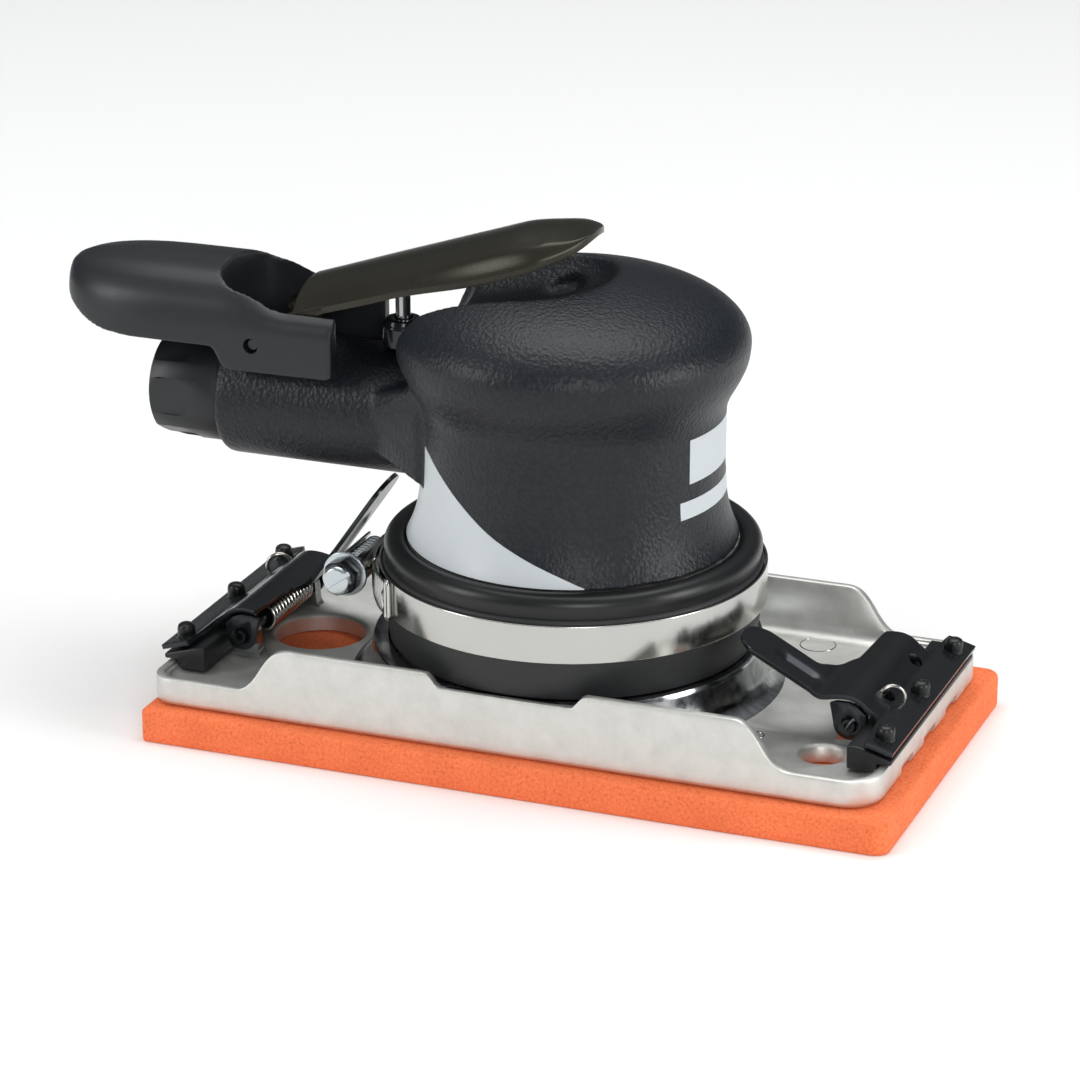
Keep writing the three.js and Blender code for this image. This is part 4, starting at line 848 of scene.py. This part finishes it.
def worm_screw_shape():
    """The worm screw: a hexagon with a chamfered round face on a flange, and threads under the roof."""
    flange = turned(eased([[0, -19.7], [5.3, -19.7], [5.3, -18.7], [0, -18.7]], 0.3), 64, WORM_X, axis="y", z=WORM_Z)
    face = [[0, -24.9], [3.0, -24.9], [3.55, -24.2], [3.55, -22.9], [0, -22.9]]
    face = turned(eased(face, 0.25), 48, WORM_X, axis="y", z=WORM_Z)
    a = np.arange(6) * np.pi / 3 + 0.35
    corner = 4.35
    hexagon = np.column_stack([WORM_X + corner * np.cos(a), WORM_Z + corner * np.sin(a)])
    nut = prism(eased(hexagon, 0.5), -23.1, -19.6, "y")
    d = np.linspace(-18.6, -0.8, 160)
    thread = np.column_stack([2.75 + 0.3 * np.cos(2 * np.pi * d / 1.6), d])
    thread = turned(np.vstack([[0, d[0]], thread, [0, d[-1]]]), 32, WORM_X, axis="y", z=WORM_Z)
    return flange, face, nut, thread


class SANDER_OT_shroud(bpy.types.Operator):
    """Builds the rubber shroud and the band round it"""

    bl_idname = "sander.shroud"
    bl_label = "Shroud and Band"

    def execute(self, context):
        made = mesh_from("shroud", shroud_shape())
        rubbers = FINISHES["black_rubber"], FINISHES["dull_rubber"]
        skirt = piece("shroud_rubber", made, "housing", "black_rubber", *rubbers, stands_for=["shroud"], sharp=50)
        heights = np.array([p.center.z for p in skirt.data.polygons])
        skirt.data.polygons.foreach_set("material_index", (heights < 0.0425).astype(np.int32))
        bright = FINISHES["stainless_band"]
        piece("band_strip", band_shape(), "housing", "stainless_band", bright, stands_for=["clamp_band"])
        piece("band_tail", together(band_tail(), saddle_end()), "housing", "stainless_band", bright,
              stands_for=["clamp_band"], sharp=60)
        return {"FINISHED"}


class SANDER_OT_worm_drive(bpy.types.Operator):
    """Builds the worm screw that tightens the band, and its housing"""

    bl_idname = "sander.worm_drive"
    bl_label = "Worm Drive"

    def execute(self, context):
        housing = together(worm_cover(), worm_foot())
        piece("worm_roof", worked("roof", housing, ("BEVEL", 0.2, 2)), "housing", "stainless_band",
              FINISHES["stainless_band"], stands_for=["worm_housing"])
        flange, face, nut, thread = worm_screw_shape()
        slot = prism([[WORM_X - 5, -26], [WORM_X + 5, -26], [WORM_X + 5, -23.7], [WORM_X - 5, -23.7]], -0.55, 0.55)
        turn = np.radians(35)
        points = slot[0]
        dx, dz = points[:, 0] - WORM_X, points[:, 2]
        points = np.column_stack([WORM_X + dx * np.cos(turn) - dz * np.sin(turn), points[:, 1],
                                  WORM_Z + dx * np.sin(turn) + dz * np.cos(turn)])
        head = worked("face", face, ("DIFFERENCE", (points, slot[1])))
        zinc = FINISHES["zinc_plate"]
        piece("worm_face", head, "housing", "zinc_plate", zinc, stands_for=["worm_screw"])
        piece("worm_nut", worked("nut", nut, ("BEVEL", 0.25, 2)), "housing", "zinc_plate", FINISHES["black_steel"],
              stands_for=["worm_screw"])
        piece("worm_flange", together(flange, thread), "housing", "zinc_plate", zinc, stands_for=["worm_screw"])
        return {"FINISHED"}


# ---------------------------------------------------------------- grip cover
NECK = [[38.2, 46.9], [36.9, 49.5], [35.6, 53.5], [34.8, 58.5], [34.5, 64], [34.5, 75], [34.6, 77.5],
        [35.1, 79.8], [36.3, 82.4], [38.0, 85.4], [39.5, 88.9], [40.1, 92.7]]


def neck_radius(z):
    """Radius of the grip cover at a height, up to its widest ring."""
    line = flowing(NECK, 8)
    return np.interp(z, line[:, 1], line[:, 0])


def dome_shape():
    """The cover's turned body: a waisted neck that flares into a dome, (40.1 cos^0.92 a, 16.1 sin^0.98 a)."""
    a = np.linspace(0, np.pi / 2, 36)[1:]
    dome = np.column_stack([40.1 * np.cos(a) ** 0.92, 92.7 + 16.1 * np.sin(a) ** 0.98])
    return turned(np.vstack([[0, 47], flowing(NECK, 8), dome]), 200, MOTOR_X)


def recess_shape():
    """What the pressed lever sinks into: a dished floor under a plan with a half-ellipse end.

    Height is a slope along X, plus a wall 9 t^4 that turns up at the sides, less a round dimple under the lever's tip.
    """
    x = np.linspace(-75, 14, 110)[:, None]
    t = np.linspace(-1, 1, 61)[None, :]
    half = 21.5 * np.sqrt(np.clip(1 - (np.clip(x + 8, 0, 18.5) / 18.5) ** 2, 0.002, 1))
    y = half * t
    floor = np.interp(x, [-75, -37, -33, -30, -8, 4, 14], [86.6, 86.6, 91, 95.5, 101.2, 103.4, 104.6])
    wall = 9 * np.abs(t) ** 4 + 7 * np.clip((x + 8) / 18.5, 0, 1) ** 5
    dimple = 1.6 * (1 - ease((np.hypot(x + 6.5, y - 10) - 3.6) / 1.4))
    z = floor + wall * ease((x + 44) / 10) - dimple
    low = np.stack([x + 0 * y, y, z], -1)
    high = low.copy()
    high[..., 2] = 135
    return closed_between(low, high)


def boss_shape():
    """The inlet boss: a rounded cylinder along X."""
    profile = [[0, -15], [14.8, -15], [14.8, BOSS_END], [0, BOSS_END]]
    return turned(eased(profile, [0, 0, 1.4, 0]), 96, axis="x", z=INLET_Z)


def gusset_shape():
    """The faceted fairing that blends the boss into the neck: six-sided rings that grow towards it."""
    rows = []
    stations = ((-50, 9, 66, 78, 1), (-44, 13, 65, 79, 1.5), (-31, 19.5, 61, 84, 1), (-20, 21, 60, 85, 0))
    for x, half, low, high, keel in stations:
        ring = [[-half, low], [-half - keel, 74], [-half, high], [half, high], [half + keel, 74], [half, low]]
        rows.append([[x, y, z] for y, z in ring])
    faces = grid_faces(4, 6, wrap_cols=True) + [list(range(6)), list(range(18, 24))]
    return np.array(rows, float).reshape(-1, 3), faces


def printed(theta, low, high, lift):
    """A patch of ink on the neck: angle along it, height across it, lying `lift` outside the cover."""
    t = np.linspace(0, 1, 40)[None, :]
    z = low[:, None] * (1 - t) + high[:, None] * t
    r = neck_radius(z) + lift
    a = np.radians(theta)[:, None]
    return sheet(np.stack([MOTOR_X + r * np.cos(a), r * np.sin(a), z], -1), 0.3)


class SANDER_OT_grip_cover(bpy.types.Operator):
    """Builds the moulded grip cover and the plain shapes printed on it"""

    bl_idname = "sander.grip_cover"
    bl_label = "Grip Cover"

    def execute(self, context):
        settings = context.scene.sander_grip
        airway = turned([[0, -22], [5, -22], [5, -60], [9.3, -60], [9.3, -90], [0, -90]], 48, axis="x", z=INLET_Z)
        cover = worked(
            "cover", dome_shape(), ("UNION", boss_shape()), ("UNION", gusset_shape()), ("DIFFERENCE", recess_shape()),
            ("DIFFERENCE", airway), ("REMESH", settings.skin / MM, 8),
        )
        piece("grip_moulding", cover, "housing", "grained_composite", FINISHES["grained_composite"],
              stands_for=["grip_cover"], sharp=60)
        lift = settings.ink / MM
        angle = np.array([-180, -160, -141, -128.5, -113.5, -101, -87.5, -75.5, -65.5])
        height = np.array([74, 73, 70.5, 67, 61.5, 57, 53.2, 50.2, 47.6])
        theta = np.linspace(-180, -65.5, 120)
        curve = np.interp(theta, *flowing(np.column_stack([angle, height]), 8).T)
        sweep = printed(theta, np.full(120, 47.4), curve, lift)
        bars = []
        for low, high, left, right in ((66.6, 76.9, -21, 30), (58.8, 62.8, -26, 27)):
            a = np.linspace(left, right, 60)
            bars.append(printed(a, np.full(60, low), np.full(60, high), lift))
        far = (sweep[0] * [1, -1, 1], sweep[1])
        for name, made in (("ink_sweep_near", sweep), ("ink_sweep_far", far), ("ink_bars", together(*bars))):
            piece(name, made, "housing", "grained_composite", FINISHES["printed_grey"])
        return {"FINISHED"}


# ---------------------------------------------------------------- inlet
class SANDER_OT_air_inlet(bpy.types.Operator):
    """Builds the muffler sleeve and the inlet bushing"""

    bl_idname = "sander.air_inlet"
    bl_label = "Air Inlet"

    def execute(self, context):
        start, bore = BOSS_END - 0.3, 11.0
        tube = [[bore, start], [12.3, start], [12.6, start - 0.5], [12.6, -96.5], [12.1, SLEEVE_END + 0.6],
                [11.3, SLEEVE_END], [9.4, SLEEVE_END], [9.4, SLEEVE_END + 2], [bore, SLEEVE_END + 2]]
        flats = []
        for turn in np.arange(6) * np.pi / 3 + np.pi / 2:
            a = np.linspace(-np.pi / 2, np.pi / 2, 20)
            round_end = np.column_stack([-94.5 + 3.6 * np.cos(a), 4.4 * np.sin(a)])
            plan = np.vstack([[[-104, -4.4]], round_end, [[-104, 4.4]]])
            points, faces = prism(plan, 11.5, 14)
            y, z = points[:, 1], points[:, 2]
            flats.append((np.column_stack([points[:, 0], y * np.cos(turn) - z * np.sin(turn),
                                           INLET_Z + y * np.sin(turn) + z * np.cos(turn)]), faces))
        sleeve = worked("sleeve", turned(tube, 120, axis="x", z=INLET_Z), ("DIFFERENCE", together(*flats)),
                        ("BEVEL", 0.2, 2))
        black = FINISHES["sleeve_black"]
        piece("muffler_tube", sleeve, "housing", "sleeve_black", black, stands_for=["muffler_sleeve"])
        d = np.linspace(-98.6, -64, 180)
        thread = np.column_stack([5.75 + 0.28 * np.cos(2 * np.pi * d / 1.4), d])
        bush = np.vstack([[[9, -60.4], [9, -99.7], [8.6, -100], [6.6, -100], [6.1, -99.2]], thread, [[5.7, -60.4]]])
        piece("inlet_thread", turned(bush, 64, axis="x", z=INLET_Z), "housing", "steel", FINISHES["steel"],
              stands_for=["inlet_bushing"])
        return {"FINISHED"}


# ---------------------------------------------------------------- throttle
def lever_surface(crown):
    """The lever's sheet: length along it, width across it.

    Height is an 18.5 degree slope that levels off, plus crown x (1 - |y / half|^2.3), less a rolled edge. At distance
    n (0 to 1) into the tip the width is half x (1 - n^2.3)^(1 / 2.1).
    """
    u = np.r_[np.linspace(0, 0.7, 56, endpoint=False), 0.7 + 0.3 * np.sin(np.linspace(0, np.pi / 2, 48))]
    x = -64 + 69.5 * u
    full = (12.7 + 2.1 * ease((x + 62) / 20))[:, None]
    n = np.clip((x + 9.3) / 14.8, 0, 0.9995)[:, None]
    t = np.linspace(-1, 1, 65)[None, :]
    y = full * (1 - n**2.3) ** (1 / 2.1) * t
    rise = crown * (1 - 0.7 * ease((x + 14) / 19.5))[:, None] * (1 - np.abs(y / full) ** 2.3)
    slope = 95.9 + (x + 64) * np.tan(np.radians(18.5)) - 1.5 * ease((x + 4) / 9.5)
    roll = (0.5 + 1.7 * ease((x + 40) / 25))[:, None] * (1 - n**4)
    z = slope[:, None] + rise - roll * ease((np.abs(t) - 0.78) / 0.22)
    return np.stack([np.broadcast_to(x[:, None], y.shape), y, z], -1)


def lever_ear(side):
    """The side flange of the lever that drops to its pivot pin."""
    outline = [[-76.4, 89.6], [-74.4, 92.2], [-70, 93.4], [-64, 95.7], [-56, 98.4], [-54, 98.2]]
    outline += [[-60, 93.4], [-66, 88.4],
               [-69.6, 84.7], [-73.6, 84.4], [-76.4, 86]]
    return prism(eased(outline, 1.6), side * 12.4 - 0.7, side * 12.4 + 0.7, "y")


def guard_shape():
    """The lever guard: a crowned section carried along X, which shrinks to a blunt nose.

    At nose distance n (0 to 1) the section is scaled by (1 - n^2.6)^(1/2.6) about its own low middle. A side outline
    then trims the underside, and a slot for the lever and a saddle for the boss are cut from it.
    """
    half = [[17.2, 80], [17.2, 89], [17.0, 92.6], [16.2, 96.1]]
    half = np.array(half + [[14.5, 98.8], [12, 101.1], [8, 102.7], [0, 103.6]])
    section = flowing(half, 5)
    section = np.vstack([section, (section * [-1, 1])[-2::-1]])
    x = np.r_[np.linspace(-50, -94, 12, endpoint=False), -94 - 30.6 * np.sin(np.linspace(0, np.pi / 2, 40))]
    n = np.clip((-94 - x) / 30.6, 0, 1)
    scale = np.maximum((1 - n**2.6), 1e-4)[:, None] ** (1 / 2.6)
    droop = 5.6 * ease((x + 79) / 14)[:, None]
    y = section[None, :, 0] * scale
    z = 96.4 + (section[None, :, 1] - 96.4) * (0.25 + 0.75 * scale)
    z = z - droop * np.clip((section[None, :, 1] - 92) / 11.5, 0, 1)
    points = np.stack([np.broadcast_to(x[:, None], y.shape), y, z], -1)
    rows, cols = y.shape
    ends = [list(range(cols)), list(range((rows - 1) * cols, rows * cols))]
    loft = points.reshape(-1, 3), grid_faces(rows, cols, wrap_cols=True) + ends
    under = [[-127, 98.5], [-124, 93.8], [-120.5, 91.2], [-116, 88.8], [-111, 87.2], [-104, 86.8], [-82.4, 86.8],
             [-79.6, 81.6], [-52.6, 81.9], [-52.4, 120], [-127, 120]]
    a = np.linspace(np.pi / 2, 1.5 * np.pi, 48)
    c, k = np.cos(a), np.sin(a)
    slot_end = np.column_stack([-74 - 10 * np.abs(c) ** 0.65, 13.4 * np.sign(k) * np.abs(k) ** 0.65])
    slot = np.vstack([[[-40, -13.8], [-40, 13.8]], slot_end])
    saddle = turned([[0, -40], [15.1, -40], [15.1, -112], [0, -112]], 96, axis="x", z=INLET_Z)
    bore = rod(1.8, -20, 20, -72.5, 88.1)
    under = eased(under, [0, 2, 3, 3, 3, 3, 1.2, 2, 1.6, 0, 0])
    return worked(
        "guard", loft, ("INTERSECT", prism(under, -30, 30, "y")), ("DIFFERENCE", prism(slot, 70, 120)),
        ("DIFFERENCE", saddle), ("REMESH", 0.42, 6), ("DIFFERENCE", bore),
    )


class SANDER_OT_throttle(bpy.types.Operator):
    """Builds the lever, its guard and the valve under it"""

    bl_idname = "sander.throttle"
    bl_label = "Throttle"

    def execute(self, context):
        settings = context.scene.sander_lever
        dark = FINISHES["lever_steel"]
        top = lever_surface(settings.crown / MM)
        blade = closed_between(top - [0, 0, settings.sheet / MM], top)
        piece("lever_blade", worked("blade", blade, ("BEVEL", 0.3, 3)), "lever", "lever_steel", dark,
              stands_for=["throttle_lever"])
        flanges = worked("flanges", together(lever_ear(1), lever_ear(-1)), ("BEVEL", 0.3, 2))
        piece("lever_flanges", flanges, "lever", "lever_steel", dark, stands_for=["throttle_lever"])
        piece("guard_moulding", guard_shape(), "housing", "smooth_plastic", FINISHES["smooth_plastic"],
              stands_for=["lever_guard"], sharp=60)
        pin = rod(1.45, -15.9, 15.9, -72.5, 88.1)
        piece("lever_pin", pin, "housing", "black_steel", FINISHES["black_steel"], stands_for=["lever_pivot_pin"])
        collar = [[2.05, 80.5], [3.0, 80.5], [3.0, 86.9], [4.7, 86.9]]
        collar += [[4.7, 91.6], [4.3, 92.3], [4, 93.4], [2.05, 93.4]]
        piece("valve_collar", turned(eased(collar, 0.35, 3), 64, VALVE_X), "housing", "black_steel",
              FINISHES["black_steel"], stands_for=["valve_bushing"])
        stem = [[0, 76.6], [2.4, 76.6], [2.4, 77.1], [1.75, 77.6], [1.75, 105.8], [1.1, 106.5], [0, 106.5]]
        piece("valve_rod", turned(stem, 40, VALVE_X), "valve", "steel", FINISHES["steel"], stands_for=["valve_stem"])
        return {"FINISHED"}


# ---------------------------------------------------------------- hidden works
class SANDER_OT_inner_works(bpy.types.Operator):
    """Gives the motor, drive and other pieces kept from the CAD their finishes"""

    bl_idname = "sander.inner_works"
    bl_label = "Inner Works"

    def execute(self, context):
        slots = {row["node"]: row["material_slot"] for row in frame["record"]["subparts"]}
        for name, obj in NODES.items():
            obj.data.materials.clear()
            obj.data.materials.append(FINISHES[slots[name]])
        return {"FINISHED"}


# ---------------------------------------------------------------- stage
def area_light(name, place, aim, size, power, colour="ffffff"):
    """A soft rectangular light at a place, turned to face its aim."""
    data = bpy.data.lights.new(name, "AREA")
    data.shape, data.size, data.size_y, data.energy = "RECTANGLE", *size, power
    data.color = linear(colour)[:3]
    obj = bpy.data.objects.new(name, data)
    obj.location = place
    obj.rotation_euler = (Vector(aim) - Vector(place)).to_track_quat("-Z", "Y").to_euler()
    bpy.context.scene.collection.objects.link(obj)
    return obj


class SANDER_OT_stage(bpy.types.Operator):
    """Sets up the floor, the soft lights and the camera"""

    bl_idname = "sander.stage"
    bl_label = "Stage"

    def execute(self, context):
        settings = context.scene.sander_stage
        a = np.linspace(0, 2 * np.pi, 96, endpoint=False)
        floor = bare("floor", (np.column_stack([4000 * np.cos(a), 4000 * np.sin(a), -0.05 + 0 * a]), [list(range(96))]))
        material, _, shader = blank("Paper, matte")
        shader.inputs["Base Color"].default_value = tuple(settings.floor_colour)
        shader.inputs["Roughness"].default_value = 0.9
        shader.inputs["Specular IOR Level"].default_value = 0.1
        floor.data.materials.append(material)
        world = bpy.data.worlds.new("Studio")
        world.use_nodes = True
        background = next(n for n in world.node_tree.nodes if n.type == "BACKGROUND")
        sky = world.node_tree
        way = add(sky, "ShaderNodeTexCoord").outputs["Generated"]
        height = add(sky, "ShaderNodeSeparateXYZ", {"Vector": way}).outputs["Z"]
        # a studio: dim walls below, a pale ceiling above
        glow = ramp(sky, height, [(0.0, "86888a"), (0.3, "5c5e60"), (0.55, "a8abae"), (0.85, "e0e2e4")])
        sky.links.new(glow, background.inputs["Color"])
        background.inputs["Strength"].default_value = 0.55
        context.scene.world = world
        area_light("overhead", (0.0, 0.25, 1.5), (0, 0, 0.05), (1.5, 1.1), 17)
        area_light("left", (-1.1, -0.9, 0.6), (0, 0, 0.06), (0.4, 0.8), 8)
        area_light("front", (0.75, -1.5, 0.6), (0, 0, 0.04), (0.5, 0.4), 8)
        area_light("right", (1.5, -0.05, 0.42), (0, 0, 0.06), (0.45, 0.8), 11)
        view = context.scene.view_settings
        view.view_transform = "Standard"
        view.look = "None"
        data = bpy.data.cameras.new("camera")
        data.lens, data.sensor_width = 138.0, 36.0
        data.shift_x, data.shift_y = -0.0332, -0.0197
        data.clip_start, data.clip_end = 0.05, 20
        camera = bpy.data.objects.new("camera", data)
        aim = Vector((0, 0, 0.05))
        az, el = settings.azimuth, settings.elevation
        away = Vector((np.sin(az) * np.cos(el), -np.cos(az) * np.cos(el), np.sin(el)))
        camera.location = aim + away * settings.distance
        camera.rotation_euler = (-away).to_track_quat("-Z", "Y").to_euler()
        context.scene.collection.objects.link(camera)
        context.scene.camera = camera
        return {"FINISHED"}


class SANDER_PT_panel(bpy.types.Panel):
    """Lists the sander's pieces"""

    bl_idname = "SANDER_PT_panel"
    bl_label = "Orbital Sander"
    bl_space_type = "VIEW_3D"
    bl_region_type = "UI"
    bl_category = "Sander"

    def draw(self, context):
        column = self.layout.column()
        for operator in OPERATORS:
            column.operator(operator.bl_idname)
        for group in ("sander_pad", "sander_clamps", "sander_grip", "sander_lever", "sander_stage"):
            settings = getattr(context.scene, group)
            for name in settings.bl_rna.properties.keys():
                if name not in ("rna_type", "name"):
                    column.prop(settings, name)


OPERATORS = (
    SANDER_OT_inner_works,
    SANDER_OT_foam_pad,
    SANDER_OT_pad_tray,
    SANDER_OT_paper_clamps,
    SANDER_OT_shroud,
    SANDER_OT_worm_drive,
    SANDER_OT_grip_cover,
    SANDER_OT_air_inlet,
    SANDER_OT_throttle,
    SANDER_OT_stage,
)
SETTINGS = {
    "sander_pad": SanderPadSettings,
    "sander_clamps": SanderClampSettings,
    "sander_grip": SanderGripSettings,
    "sander_lever": SanderLeverSettings,
    "sander_stage": SanderStageSettings,
}


def register():
    for kind in (*SETTINGS.values(), *OPERATORS, SANDER_PT_panel):
        bpy.utils.register_class(kind)
    for name, kind in SETTINGS.items():
        setattr(bpy.types.Scene, name, PointerProperty(type=kind))


def unregister():
    for name in SETTINGS:
        delattr(bpy.types.Scene, name)
    for kind in reversed((*SETTINGS.values(), *OPERATORS, SANDER_PT_panel)):
        bpy.utils.unregister_class(kind)


def main():
    """Builds every piece and the stage."""
    register()
    make_finishes()
    build = bpy.ops.sander
    build.inner_works()
    build.foam_pad()
    build.pad_tray()
    build.paper_clamps()
    build.shroud()
    build.worm_drive()
    build.grip_cover()
    build.air_inlet()
    build.throttle()
    build.stage()


if __name__ == "__main__":
    main()
